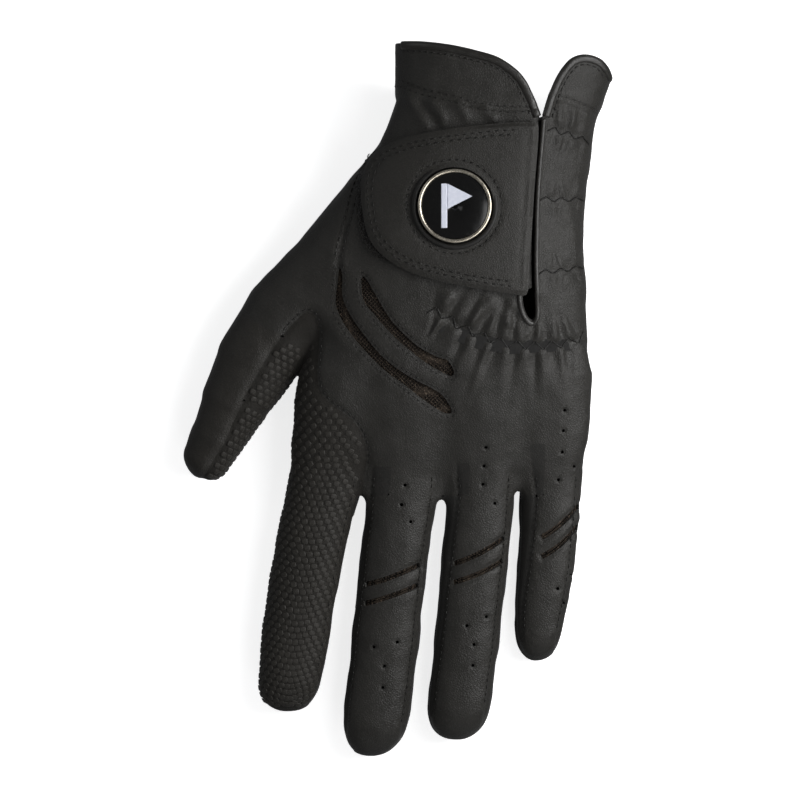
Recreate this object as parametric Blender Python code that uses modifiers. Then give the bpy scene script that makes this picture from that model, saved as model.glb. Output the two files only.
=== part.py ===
"""A left-hand golf glove, lying on its palm with the shape of a hand inside it.

The glove is made of layers over one hand-shaped form: lining, skin, patches and closure tab. Each layer is
the space between two offsets of that form, and each panel is the stretch of a layer inside its own pattern
outline. Lengths are in millimetres until a mesh is made. +Y runs from the fingertips to the cuff, +X from
the thumb to the little finger, and +Z from the palm to the back of the hand.
"""

import math

import bmesh
import bpy
from mathutils import Matrix, Vector

# Sizes of the whole glove, in millimetres
MM = 0.001
GAP = 0.3  # clearance between neighbouring panels
SKIN = 0.7  # thickness of the synthetic leather
FLATTENED = 0.6  # how much of the underside is pressed flat where it rests
FINGER_FLOOR = 0.2  # undersides of the fingers and thumb, when the palm is at 0
THUMB_FLOOR = 0.4
FORM_TOP = 122.0  # the form runs on past the cuff, and the cuff outline trims it
ABOVE = 40.0
BELOW = -1.0

# Layers, as (inner offset, outer offset) from the outside of the skin
LINING_LAYER = (-1.6, -1.0)
SKIN_LAYER = (-SKIN, 0.0)
PATCH_LAYER = (0.3, 0.9)
HOOK_LAYER = (1.2, 1.8)
TAB_LAYER = (2.1, 3.3)

# Where the glove bends, in millimetres and degrees
FOLD_Y = -7.0  # the line of the knuckles
FOLD_Z = 10.0
FOLD_LIMIT = 50.0
BEND_Z = 7.5
BEND_LIMIT = 75.0
SIDE_LOW = 5.0  # the finger side strips lie between these heights
SIDE_HIGH = 10.5
HAND_SEAM_Z = 12.0  # the seam round the outside of the hand
THUMB_ROLL = math.radians(38.0)  # the thumb's back faces up and outwards

# The trunk of the hand: (y, left edge, right edge, thickness, height of the underside)
TRUNK = (
    (FORM_TOP, 0.5, 66.0, 30.0, 3.6),
    (104.0, -0.5, 65.8, 30.4, 3.2),
    (96.0, -0.9, 64.4, 30.8, 2.8),
    (87.0, -3.2, 61.0, 31.4, 2.2),
    (77.0, -7.2, 59.5, 31.6, 1.3),
    (67.0, -13.0, 58.3, 31.6, 0.4),
    (55.0, -18.4, 57.1, 31.0, 0.0),
    (41.0, -23.4, 57.2, 31.0, 0.0),
    (27.0, -27.2, 57.9, 30.0, 0.0),
    (13.0, -29.9, 58.3, 29.0, 0.0),
    (0.0, -31.0, 57.9, 28.0, 0.0),
    (-12.0, -31.8, 57.6, 26.0, 0.0),
    (-22.0, -29.0, 54.5, 23.0, 0.0),
)

# The thumb: (centre x, centre y, half width, half thickness)
THUMB = (
    (4.0, 68.0, 12.0, 10.0),
    (-9.0, 54.0, 12.5, 10.5),
    (-23.0, 39.0, 11.4, 10.5),
    (-36.0, 24.0, 12.2, 10.0),
    (-45.5, 11.5, 11.2, 9.5),
    (-52.5, 0.0, 9.6, 9.0),
    (-57.3, -10.5, 8.0, 8.2),
    (-60.3, -17.6, 6.9, 7.4),
)
THUMB_TIP = (-62.6, -24.7)
THUMB_BENDS = (9.0, 29.0)  # distances along the thumb from its fork
THUMB_LIMITS = (25.0, 50.0)
THUMB_FORK = (-41.5, 17.5)  # where the thumb leaves the hand, on its centre line


class Finger:
    """A straight finger: its centre line, its widths, and where along it the middle joint bends."""

    def __init__(self, name, base, tip, bend, half_widths, half_thicknesses):
        self.name = name
        self.base = Vector((base[0], base[1], 0.0))
        run = Vector((tip[0], tip[1], 0.0)) - self.base
        self.length = run.length
        self.along = run.normalized()
        self.up = Vector((0.0, 0.0, 1.0))
        self.across = self.along.cross(self.up)
        self.bend = bend
        self.half_widths = half_widths
        self.half_thicknesses = half_thicknesses

    def point(self, across, along, up):
        return self.base + self.across * across + self.along * along + self.up * up

    def reach(self, along):
        """How far to each side a cutter goes to take in this finger and not the next."""
        return interpolate(self.half_widths, along / self.length) + 0.6

    def size_at(self, along):
        """(half width, half thickness) at a distance along the finger, with a rounded end."""
        share = along / self.length
        width = interpolate(self.half_widths, share)
        thickness = interpolate(self.half_thicknesses, share)
        round_start = self.length - self.half_widths[-1] * 1.1
        if along <= round_start:
            return width, thickness
        turn = min(1.0, (along - round_start) / (self.length - round_start))
        shrink = math.sqrt(max(0.0, 1.0 - turn**2))
        return width * shrink, thickness * shrink


def interpolate(values, share):
    """A value from an evenly spaced list, at a share of the way along it."""
    place = max(0.0, min(1.0, share)) * (len(values) - 1)
    index = min(int(place), len(values) - 2)
    return values[index] + (values[index + 1] - values[index]) * (place - index)


FINGERS = {
    "index": Finger("index", (-21.5, -12.0), (-34.3, -98.0), 41.0, (11.3, 11.2, 10.9, 9.9), (11.0, 9.6, 8.8, 8.0)),
    "middle": Finger("middle", (3.2, -12.0), (-7.5, -111.7), 46.0, (11.0, 10.9, 10.7, 9.8), (11.2, 9.7, 8.9, 8.1)),
    "ring": Finger("ring", (26.9, -12.0), (18.3, -105.9), 38.3, (10.8, 10.6, 10.3, 9.6), (11.0, 9.5, 8.7, 7.9)),
    "little": Finger("little", (48.5, -12.0), (43.2, -81.4), 29.3, (9.6, 9.3, 8.7, 7.4), (10.6, 9.2, 8.2, 7.2)),
}

# Pattern outlines on the back of the hand, as (x, y)
CUFF_EDGE = ((-1.5, 96.0), (-1.2, 105.3), (1.2, 108.4), (16.5, 106.0), (30.2, 102.4), (35.9, 98.8), (39.0, 94.6), (42.6, 87.0))
FLAP_EDGE = ((44.0, 87.0), (46.6, 92.6), (50.4, 99.0), (54.4, 102.4), (58.6, 103.0), (62.6, 101.8), (66.0, 98.6))
# The seams of the palm: round the mound of the thumb, and across below the wrist
THENAR_SEAM = ((-18.6, 3.0), (-12.0, 12.0), (-8.0, 26.0), (-6.8, 42.0), (-7.6, 57.0), (-11.0, 72.0), (-24.0, 82.0))
WRIST_SEAM_Y = 86.0
PALM_EDGE = ((-1.5, 104.0), (8.0, 97.0), (20.0, 89.0), (33.0, 84.5), (46.0, 86.5), (57.0, 93.5), (66.0, 99.0))
SLIT_TOP = (43.2, 87.0)
SLIT_END = (40.8, 28.0)
SLIT_WIDTH = 1.6
TEARDROP = (40.4, 27.4, 2.4)  # x, y and radius of the slit's rounded end
SLIT_TOP = (43.4, 87.0)
SLIT_END = (41.3, 36.0)
SLIT_WIDTH = 1.6
TEARDROP = ((37.6, 33.4), (36.2, 30.8), (37.4, 27.2), (39.2, 24.2), (41.0, 22.8), (42.4, 23.8), (42.4, 27.6), (42.1, 33.0))
SEAM_LEFT = ((-6.0, 79.0), (-13.4, 65.3), (-15.2, 57.0), (-17.6, 47.5), (-19.2, 38.0), (-19.7, 30.0), (-18.6, 25.4), (-15.2, 20.2), (-8.6, 12.5), (0.3, 5.3), (7.3, 0.0), (13.0, -3.6), (17.0, -6.0))
SLOT_LOWER = ((-19.4, 39.0), (-20.4, 30.0), (-19.5, 25.0), (-15.9, 19.6), (-9.2, 11.8), (-0.2, 4.6), (6.8, -0.7), (12.4, -4.2), (15.9, -5.0), (16.2, -3.4), (13.7, 0.5), (4.5, 5.8), (-0.4, 9.2), (-6.4, 14.2), (-13.8, 23.6), (-17.0, 30.0), (-17.4, 36.0))
SLOT_UPPER = ((-12.2, 36.6), (-10.9, 30.2), (-6.8, 24.6), (3.8, 14.1), (13.1, 7.8), (16.3, 6.9), (16.8, 8.4), (12.1, 12.6), (6.7, 15.5), (-2.9, 24.8), (-7.5, 32.4), (-10.6, 36.8))
GRIP_SEAM = ((-43.5, 7.5), (-40.5, 12.6), (-36.3, 18.9), (-30.3, 24.9), (-28.1, 26.2), (-25.0, 24.0), (-24.8, 12.0), (-25.2, 5.6), (-24.0, 1.6), (-21.1, -1.6), (-14.2, -7.0))
FINGER_SEAM = ((-10.2, -21.5), (-9.8, -18.0), (-11.4, -11.2), (-14.2, -7.0))
TAB_OUTLINE = ((41.8, 84.0), (31.0, 83.8), (18.0, 82.3), (6.0, 80.0), (-3.2, 76.6), (-8.4, 71.0), (-10.4, 60.6), (-8.6, 50.3), (-3.2, 42.3), (7.5, 37.2), (22.0, 34.2), (38.2, 31.8), (38.8, 36.0), (39.8, 52.0), (40.9, 68.0), (41.7, 80.0))
LOOP_OUTLINE = ((18.0, 80.0), (5.0, 77.6), (-3.4, 75.6), (-9.4, 71.4), (-12.4, 64.0), (-12.8, 58.0), (-10.4, 49.0), (-4.0, 43.4), (6.0, 39.4), (18.0, 37.0))

# The ball marker on the closure tab
MARKER_CENTRE = (17.1, 58.6)
MARKER_RADIUS = 11.3
MARKER_HEIGHT = 1.7
SEAT_RADIUS = 13.0
MAGNET_RADIUS = 6.0
MAGNET_HEIGHT = 0.8

# The flex slots over each finger's middle joint: half length across, width and distance from the joint
FINGER_SLOTS = {"middle": (9.0, 1.7, 3.1), "ring": (8.2, 2.1, 3.0), "little": (7.2, 1.5, 2.8)}
SLOT_SLANT = 0.36
ELASTIC_ROWS = ((79.5, 45.4, 58.0), (61.0, 43.2, 56.0), (39.0, 43.2, 56.0))  # y, left and right
ELASTIC_WIDTH = 4.0

COLOURS = {
    "leather": ((0.026, 0.025, 0.023), 0.55, 0.0),
    "grip": ((0.019, 0.017, 0.014), 0.62, 0.0),
    "mesh": ((0.012, 0.010, 0.008), 0.85, 0.0),
    "binding": ((0.016, 0.014, 0.012), 0.32, 0.0),
    "velcro": ((0.008, 0.007, 0.006), 0.95, 0.0),
    "elastic": ((0.02, 0.02, 0.02), 0.8, 0.0),
    "label": ((0.55, 0.55, 0.55), 0.7, 0.0),
    "rubber": ((0.010, 0.010, 0.010), 0.6, 0.0),
    "metal": ((0.62, 0.57, 0.48), 0.22, 1.0),
    "enamel": ((0.006, 0.006, 0.006), 0.08, 0.0),
    "emblem": ((0.72, 0.74, 0.80), 0.3, 0.0),
}


def clear_scene():
    for obj in list(bpy.data.objects):
        bpy.data.objects.remove(obj, do_unlink=True)


def new_collection(name):
    collection = bpy.data.collections.new(name)
    bpy.context.scene.collection.children.link(collection)
    return collection


def material(name):
    """The Principled material of one kind of stuff, made once."""
    found = bpy.data.materials.get(name)
    if found:
        return found
    colour, roughness, metallic = COLOURS[name]
    made = bpy.data.materials.new(name)
    made.use_nodes = True
    shader = made.node_tree.nodes["Principled BSDF"]
    shader.inputs["Base Color"].default_value = (*colour, 1.0)
    shader.inputs["Roughness"].default_value = roughness
    shader.inputs["Metallic"].default_value = metallic
    return made


def object_from(name, mesh, collection):
    obj = bpy.data.objects.new(name, mesh)
    collection.objects.link(obj)
    return obj


def evaluated_mesh(obj):
    """The mesh of an object with its modifiers, as a new mesh."""
    bpy.context.view_layer.update()
    graph = bpy.context.evaluated_depsgraph_get()
    return bpy.data.meshes.new_from_object(obj.evaluated_get(graph))


def as_cutter(obj):
    obj.hide_render = True
    obj.display_type = "WIRE"
    return obj


def add_boolean(obj, cutter, operation):
    modifier = obj.modifiers.new(operation.lower(), "BOOLEAN")
    modifier.operation = operation
    modifier.solver = "EXACT"
    modifier.object = cutter


# The hand-shaped form


def ring_points(centre, across, up, half_width, half_thickness, squareness, count, floor):
    """A closed superellipse, pressed flat where it would pass below the floor height."""
    points = []
    for step in range(count):
        angle = 2 * math.pi * (step + 0.5) / count
        c, s = math.cos(angle), math.sin(angle)
        x = math.copysign(abs(c) ** (2 / squareness), c) * half_width
        z = math.copysign(abs(s) ** (2 / squareness), s) * half_thickness
        point = centre + across * x + up * z
        point.z = max(point.z, floor)
        points.append(point)
    return points


def loft(name, rings, collection):
    """A closed solid through rings of the same number of points."""
    mesh = bmesh.new()
    rows = [[mesh.verts.new(p * MM) for p in ring] for ring in rings]
    for row, after in zip(rows, rows[1:]):
        for i in range(len(row)):
            j = (i + 1) % len(row)
            mesh.faces.new((row[i], row[j], after[j], after[i]))
    mesh.faces.new(rows[0])
    mesh.faces.new(rows[-1])
    mesh.normal_update()
    bmesh.ops.recalc_face_normals(mesh, faces=mesh.faces)
    data = bpy.data.meshes.new(name)
    mesh.to_mesh(data)
    mesh.free()
    return as_cutter(object_from(name, data, collection))


def trunk_form(offset, collection):
    """The hand without its fingers, as sections across the hand."""
    rings = []
    for y, left, right, thickness, under in TRUNK:
        end = offset if y == TRUNK[-1][0] else 0.0
        centre = Vector(((left + right) / 2, y - end, under + thickness / 2 - FLATTENED))
        half_width = (right - left) / 2 + offset
        rings.append(
            ring_points(centre, Vector((1, 0, 0)), Vector((0, 0, 1)), half_width, thickness / 2 + offset, 2.5, 36, under - offset)
        )
    return loft("trunk_form", rings, collection)


def finger_form(finger, offset, collection):
    """A finger from inside the hand to its rounded tip."""
    radius = finger.half_widths[-1] * 1.1
    straight = finger.length - radius
    places = [straight * share for share in (0.0, 0.17, 0.38, 0.6, 0.8, 1.0)]
    places += [straight + radius * share for share in (0.35, 0.65, 0.87, 0.97)]
    rings = []
    for along in places:
        half_width, half_thickness = finger.size_at(along)
        centre_z = half_thickness - FLATTENED if along <= straight else finger.size_at(straight)[1] - FLATTENED
        if along == 0.0:  # the root narrows inside the hand
            half_width, half_thickness, centre_z = half_width * 0.6, 5.0, 11.5
        centre = finger.point(0.0, along + offset * max(0.0, (along - straight) / radius), centre_z)
        rings.append(
            ring_points(centre, finger.across, finger.up, half_width + offset, half_thickness + offset, 2.25, 20, FINGER_FLOOR - offset)
        )
    return loft(finger.name + "_form", rings, collection)


def thumb_form(offset, collection):
    """The thumb, with its mound running up into the wrist."""
    centres = [Vector((x, y, 0.0)) for x, y, _, _ in THUMB] + [Vector((*THUMB_TIP, 0.0))]
    rings = []
    for i, (_, _, half_width, half_thickness) in enumerate(THUMB):
        ahead = (centres[i + 1] - centres[max(0, i - 1)]).normalized()
        across = ahead.cross(Vector((0, 0, 1)))
        centre = centres[i] + Vector((0, 0, half_thickness - FLATTENED))
        rings.append(
            ring_points(centre, across, Vector((0, 0, 1)), half_width + offset, half_thickness + offset, 2.1, 20, THUMB_FLOOR - offset)
        )
    last = THUMB[-1]
    reach = centres[-1] - centres[-2]
    for share in (0.45, 0.75, 0.95):
        shrink = math.sqrt(1 - share**2)
        centre = centres[-2] + reach * share + reach.normalized() * offset * share
        centre.z = last[3] - FLATTENED
        rings.append(
            ring_points(
                centre, reach.normalized().cross(Vector((0, 0, 1))), Vector((0, 0, 1)),
                last[2] * shrink + offset, last[3] * shrink + offset, 2.1, 20, THUMB_FLOOR - offset,
            )
        )
    return loft("thumb_form", rings, collection)


def whole_form(offset, collection):
    """Trunk, thumb and fingers joined into one solid at an offset from the outside of the skin."""
    body = trunk_form(offset, collection)
    parts = [thumb_form(offset, collection)]
    parts += [finger_form(finger, offset, collection) for finger in FINGERS.values()]
    for part in parts:
        add_boolean(body, part, "UNION")
    return as_cutter(object_from("whole_form", evaluated_mesh(body), collection))


def layer(offsets, form, collection):
    """The mesh between two offsets of a form."""
    inner, outer = (form(offset, collection) for offset in offsets)
    outer = as_cutter(object_from("layer", evaluated_mesh(outer), collection))
    add_boolean(outer, inner, "DIFFERENCE")
    return evaluated_mesh(outer)


# Pattern outlines as cutting solids


def prism(outline, low, high, collection, smooth=False):
    """A flat outline with straight or smooth sides, from one height to another."""
    curve = bpy.data.curves.new("outline", "CURVE")
    curve.dimensions = "2D"
    curve.fill_mode = "BOTH"
    curve.extrude = (high - low) / 2 * MM
    curve.resolution_u = 3
    spline = curve.splines.new("BEZIER" if smooth else "POLY")
    points = [Vector((x, y, 0.0)) * MM for x, y in outline]
    if smooth:
        spline.bezier_points.add(len(points) - 1)
        for place, point in zip(spline.bezier_points, points):
            place.co = point
            place.handle_left_type = place.handle_right_type = "AUTO"
    else:
        spline.points.add(len(points) - 1)
        for place, point in zip(spline.points, points):
            place.co = (*point, 1.0)
    spline.use_cyclic_u = True
    flat = object_from("flat_outline", curve, collection)
    flat.location.z = (low + high) / 2 * MM
    solid = solid_from_curve(flat, "outline_cutter", collection)
    return as_cutter(solid)


def solid_from_curve(curve_object, name, collection):
    """A curve's mesh with its caps welded on, in place of the curve."""
    data = evaluated_mesh(curve_object)
    mesh = bmesh.new()
    mesh.from_mesh(data)
    bmesh.ops.remove_doubles(mesh, verts=mesh.verts, dist=1e-6)
    mesh.normal_update()
    bmesh.ops.recalc_face_normals(mesh, faces=mesh.faces)
    mesh.to_mesh(data)
    mesh.free()
    solid = object_from(name, data, collection)
    solid.matrix_world = curve_object.matrix_world
    bpy.data.objects.remove(curve_object, do_unlink=True)
    return solid


def finger_box(finger, across, along, up, collection):
    """A box in a finger's own directions, each given as (low, high)."""
    mesh = bmesh.new()
    bmesh.ops.create_cube(mesh, size=1.0)
    for vert in mesh.verts:
        share = [0.5 + value for value in vert.co]
        place = [low + (high - low) * s for (low, high), s in zip((across, along, up), share)]
        vert.co = finger.point(*place) * MM
    mesh.normal_update()
    bmesh.ops.recalc_face_normals(mesh, faces=mesh.faces)
    data = bpy.data.meshes.new("box")
    mesh.to_mesh(data)
    mesh.free()
    return as_cutter(object_from("finger_box", data, collection))


class Shop:
    """Where the panels are cut: the glove's collection, the cutters' collection and the layers."""

    def __init__(self):
        self.parts = new_collection("golf_glove")
        self.cutters = new_collection("cutters")
        self.layers = {
            "skin": layer(SKIN_LAYER, whole_form, self.cutters),
            "lining": layer(LINING_LAYER, whole_form, self.cutters),
            "patch": layer(PATCH_LAYER, trunk_form, self.cutters),
            "hook": layer(HOOK_LAYER, trunk_form, self.cutters),
            "tab": layer(TAB_LAYER, trunk_form, self.cutters),
        }

    def panel(self, name, layer_name, stuff, keep, holes=()):
        """One panel: the stretch of a layer inside the keep solid, without the holes."""
        obj = object_from(name, self.layers[layer_name].copy(), self.parts)
        add_boolean(obj, keep, "INTERSECT")
        for hole in holes:
            add_boolean(obj, hole, "DIFFERENCE")
        self.finish(obj, stuff)
        return obj

    def finish(self, obj, stuff):
        obj.data.materials.clear()
        obj.data.materials.append(material(stuff))

    def prism(self, outline, low=BELOW, high=ABOVE, smooth=False):
        return prism(outline, low, high, self.cutters, smooth)

    def box(self, finger, across, along, up):
        return finger_box(finger, across, along, up, self.cutters)


def surface_height(x, y, offset=0.0, side=1):
    """Height of the trunk form's back, or with side -1 of its underside, for laying things along it."""
    stations = sorted(TRUNK)
    low = max((s for s in stations if s[0] <= y), default=stations[0])
    high = min((s for s in stations if s[0] >= y), default=stations[-1])
    share = 0.0 if high[0] == low[0] else (y - low[0]) / (high[0] - low[0])
    left, right, thickness, under = (a + (b - a) * share for a, b in zip(low[1:], high[1:]))
    inside = min(1.0, abs(x - (left + right) / 2) / ((right - left) / 2 + offset))
    rise = (1 - inside**2.5) ** (1 / 2.5)
    height = under + thickness / 2 - FLATTENED + side * (thickness / 2 + offset) * rise
    return max(height, under - offset)


def wedge(depth, limit):
    """How far a wall at this depth under a hinge is cut back, so that it can turn to the limit."""
    return depth * math.tan(math.radians(limit) / 2) + GAP


# The hand, from the cuff to the knuckles


def slit_outline():
    """The opening down the back of the wrist, running into its drop-shaped end."""
    (top_x, top_y), (end_x, end_y) = SLIT_TOP, SLIT_END
    half = SLIT_WIDTH / 2
    return [(top_x + half, top_y + 8), (top_x - half, top_y + 8), (end_x - half, end_y), *TEARDROP, (end_x + half, end_y)]


def make_hand(shop):
    """Panels fixed to the hand: back, thumb side, palm and the grip web beside the thumb."""
    fold = FOLD_Y + GAP / 2
    slit = shop.prism(slit_outline(), low=HAND_SEAM_Z)
    lower_slot = shop.prism(SLOT_LOWER, low=HAND_SEAM_Z)
    cuff_line = [*CUFF_EDGE, (SLIT_TOP[0], 84.0), *FLAP_EDGE]
    seam = [(x + GAP, y) for x, y in SEAM_LEFT]
    back = [*seam, (18.0, fold), (70.0, fold), (70.0, FLAP_EDGE[-1][1]), *reversed(cuff_line), (-12.0, 96.0), (-12.0, 84.0)]
    shop.panel(
        "back_panel", "skin", "leather", shop.prism(back, low=HAND_SEAM_Z + GAP / 2),
        [slit, shop.prism(SLOT_UPPER, low=HAND_SEAM_Z), lower_slot],
    )
    fork = thumb_frame()
    seam = [(x - GAP, y) for x, y in reversed(SEAM_LEFT[1:])]
    side = [(17.4, fold), *seam, (-30.0, 62.0), (-70.0, 45.0), (-70.0, 5.0), (-34.5, -10.0), (-34.5, fold)]
    thumb_out = shop.box(fork, (-13, 30), (THUMB_BENDS[0] - GAP / 2, 60), (-30, 30))
    grip_area = [*GRIP_SEAM, (-14.2, -12.0), (-43.5, -12.0)]
    shop.panel(
        "thumb_side_panel", "skin", "leather", shop.prism(side, low=HAND_SEAM_Z + GAP / 2),
        [thumb_out, shop.prism(grip_area, low=HAND_SEAM_Z - 1), lower_slot],
    )
    grip = [(x + (GAP if x < -29.0 else -GAP), y - GAP) for x, y in GRIP_SEAM[:-1]]
    grip += [(-14.6, fold), (-43.5, fold)]
    thumb_wedge = shop.box(fork, (-13, 13), (THUMB_BENDS[0] - wedge(9.0, THUMB_LIMITS[0]), 60), (-30, 30))
    shop.panel("grip_web_panel", "skin", "grip", shop.prism(grip, low=HAND_SEAM_Z + GAP / 2), [thumb_wedge])
    palm_gap = wedge(FOLD_Z, FOLD_LIMIT)
    seam = THENAR_SEAM
    wrist = WRIST_SEAM_Y - GAP / 2
    palm = [(-20.5, FOLD_Y + palm_gap), (70.0, FOLD_Y + palm_gap), (70.0, wrist), (41.8, wrist), PALM_EDGE[3], (29.1, wrist)]
    palm += [(-20.0, wrist), *reversed(seam)]
    shop.panel("palm_panel", "skin", "leather", shop.prism(palm, high=HAND_SEAM_Z - GAP / 2), [thumb_wedge])
    seam = [(x - GAP, y) for x, y in seam]
    thenar = [(-80.0, FOLD_Y + palm_gap), (-20.5 - GAP, FOLD_Y + palm_gap), *seam, (-80.0, seam[-1][1])]
    shop.panel("thumb_palm_panel", "skin", "leather", shop.prism(thenar, high=HAND_SEAM_Z - GAP / 2), [thumb_wedge])
    wrist += GAP
    inner = [(-80.0, wrist), (28.2, wrist), PALM_EDGE[2], PALM_EDGE[1], PALM_EDGE[0], (-80.0, PALM_EDGE[0][1])]
    shop.panel("palm_cuff_inner", "skin", "leather", shop.prism(inner, high=HAND_SEAM_Z - GAP / 2))
    outer = [(43.8, wrist), (70.0, wrist), (70.0, PALM_EDGE[6][1]), PALM_EDGE[6], PALM_EDGE[5], PALM_EDGE[4]]
    shop.panel("palm_cuff_outer", "skin", "leather", shop.prism(outer, high=HAND_SEAM_Z - GAP / 2))
    low, high = FOLD_Y - palm_gap + GAP, FOLD_Y + palm_gap - GAP
    shop.panel("palm_crease", "skin", "leather", shop.prism([(-36.0, low), (70.0, low), (70.0, high), (-36.0, high)], high=FOLD_Z - 1.0))


def make_lining(shop):
    """What lies inside the hand: the stretch mesh under the slots, cuff bands, elastics and care label."""
    mesh_area = [(-22.5, 42.0), (-23.0, 28.0), (-12.0, 11.0), (2.0, 0.0), (19.0, 0.0), (20.0, 10.0), (0.0, 28.0), (-8.0, 41.0)]
    shop.panel("hand_flex_mesh", "lining", "mesh", shop.prism(mesh_area, low=HAND_SEAM_Z + 3))
    cuff = [(-4.0, 98.0), *[(x, y - 1.2) for x, y in CUFF_EDGE[1:-2]], (38.0, 95.0), (38.6, 89.0), (20.0, 90.0)]
    shop.panel("cuff_lining", "lining", "elastic", shop.prism(cuff, low=17.0))
    flap = [(46.6, 91.0), (48.0, 95.0), (51.4, 100.6), (55.0, 103.2), (59.0, 103.6), (63.4, 102.0), (68.0, 99.0), (66.0, 88.0)]
    shop.panel("flap_lining", "lining", "elastic", shop.prism(flap, low=17.0))
    for number, (y, left, right) in enumerate(ELASTIC_ROWS, 1):
        low, high = y - ELASTIC_WIDTH / 2, y + ELASTIC_WIDTH / 2
        row = [(left, low), (right, low), (right, high), (left, high)]
        shop.panel(f"flap_elastic_{number}", "lining", "elastic", shop.prism(row, low=17.0))
    heel = [(12.0, 20.5), (22.0, 15.6), (34.0, 13.6), (64.0, 15.4), (64.0, 19.4), (34.0, 17.6), (24.0, 19.4), (14.0, 24.0)]
    shop.panel("heel_elastic", "lining", "elastic", shop.prism(heel, low=17.0))
    label = [(6.0, 66.0), (28.0, 66.0), (28.0, 80.0), (6.0, 80.0)]
    shop.panel("care_label", "lining", "label", shop.prism(label, high=6.0))
    shop.panel("loop_patch", "patch", "velcro", shop.prism(LOOP_OUTLINE, low=17.0, smooth=True))


def cord(shop, name, stuff, points, radius):
    """A bound edge: a round cord through points on the glove."""
    curve = bpy.data.curves.new(name, "CURVE")
    curve.dimensions = "3D"
    curve.bevel_depth = radius * MM
    curve.bevel_resolution = 1
    curve.use_fill_caps = True
    spline = curve.splines.new("POLY")
    spline.points.add(len(points) - 1)
    for place, point in zip(spline.points, points):
        place.co = (*[value * MM for value in point], 1.0)
    obj = object_from(name, curve, shop.parts)
    shop.finish(obj, stuff)
    return obj


def smooth_path(points, count):
    """Evenly spread points on a smooth curve through a few given ones."""
    steps = []
    last = len(points) - 1
    for step in range(count):
        place = last * step / (count - 1)
        i = min(int(place), last - 1)
        t = place - i
        before, start = points[max(0, i - 1)], points[i]
        end, after = points[i + 1], points[min(last, i + 2)]
        steps.append(
            tuple(
                0.5 * (2 * b + (c - a) * t + (2 * a - 5 * b + 4 * c - d) * t**2 + (3 * b - a - 3 * c + d) * t**3)
                for a, b, c, d in zip(before, start, end, after)
            )
        )
    return steps


def moved_out(path, distance):
    """A path from the thumb side to the little-finger side, moved a distance towards the cuff."""
    moved = []
    for i, (x, y) in enumerate(path):
        ahead = Vector(path[min(i + 1, len(path) - 1)]) - Vector(path[max(i - 1, 0)])
        ahead.normalize()
        moved.append((x - ahead.y * distance, y + ahead.x * distance))
    return moved


def make_bindings(shop):
    """The bound edges of the cuff, the flap, the palm's edge and the slit."""
    radius = 0.9
    clear = radius + 0.75
    mid_skin = -SKIN / 2
    for name, edge, side in (("cuff_binding", CUFF_EDGE[2:-1], 1), ("flap_binding", FLAP_EDGE[1:-1], 1), ("palm_binding", PALM_EDGE[1:-1], -1)):
        path = moved_out(smooth_path(edge, 22), clear)
        cord(shop, name, "binding", [(x, y, surface_height(x, y, mid_skin, side)) for x, y in path], radius)
    radius = 0.5
    edge = ((45.2, 85.0), (43.9, 73.0), (43.1, 61.0), (42.9, 49.0), (43.0, 38.0), (43.3, 31.0), (43.5, 25.0), (42.7, 22.2), (40.6, 21.7), (38.4, 23.4), (36.4, 26.9), (35.0, 31.0))
    path = smooth_path(edge, 34)
    cord(shop, "slit_binding", "binding", [(x, y, surface_height(x, y, GAP + radius)) for x, y in path], radius)


def make_knuckles(shop):
    """The part of the glove that folds at the knuckles, out to the middle joint of each finger."""
    fold = FOLD_Y - GAP / 2
    palm_gap = wedge(FOLD_Z, FOLD_LIMIT)
    back_stop, side_stop = GAP / 2, wedge(BEND_Z - SIDE_LOW, BEND_LIMIT)
    palm_stop = wedge(BEND_Z, BEND_LIMIT)
    index, middle, ring, little = FINGERS.values()
    slots = [finger_slot(shop, FINGERS[name], length, width, -distance) for name, (length, width, distance) in FINGER_SLOTS.items()]
    fork = (-12.4, -30.0)
    back = [(70.0, fold), *ends((little, ring, middle), back_stop), fork, *FINGER_SEAM[:-1], (FINGER_SEAM[-1][0], fold)]
    shop.panel("knuckle_panel", "skin", "leather", shop.prism(back, low=SIDE_HIGH + GAP / 2), slots)
    seam = [(x - GAP, y) for x, y in reversed(FINGER_SEAM[:-1])]
    grip = [(-40.0, fold), (FINGER_SEAM[-1][0] - GAP, fold), *seam, (fork[0] - GAP, fork[1]), *ends((index,), back_stop)]
    shop.panel("index_grip_base", "skin", "grip", shop.prism(grip, low=SIDE_HIGH + GAP / 2))
    palm = [(-45.0, FOLD_Y - palm_gap), (70.0, FOLD_Y - palm_gap), *ends((little, ring, middle, index), palm_stop)]
    start = 9.0
    between = [centre_of(little, start), centre_of(little, 80.0), centre_of(index, 90.0), centre_of(index, start)]
    shop.panel(
        "knuckle_palm_panel", "skin", "leather", shop.prism(palm, high=SIDE_HIGH - GAP / 2),
        [shop.prism(between, low=SIDE_LOW - GAP / 2, high=SIDE_HIGH + 1)],
    )
    for a, b in ((index, middle), (middle, ring), (ring, little)):
        a_end, b_end = a.bend - side_stop, b.bend - side_stop
        area = [centre_of(a, start + 0.6, -GAP / 2), centre_of(a, a_end, -GAP / 2), centre_of(a, a_end, -a.reach(a_end))]
        area += [centre_of(b, b_end, b.reach(b_end)), centre_of(b, b_end, GAP / 2), centre_of(b, start + 0.6, GAP / 2)]
        shop.panel(
            f"fourchette_{a.name}_{b.name}", "skin", "leather",
            shop.prism(area, low=SIDE_LOW + GAP / 2, high=SIDE_HIGH - GAP / 2),
        )
    for finger in FINGERS.values():
        low, high = finger.bend - palm_stop + GAP, finger.bend + palm_stop - GAP
        keep = shop.box(finger, (-finger.reach(low), finger.reach(low)), (low, high), (BELOW, SIDE_LOW - GAP))
        shop.panel(f"{finger.name}_crease", "skin", "grip" if finger is index else "leather", keep)


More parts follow.
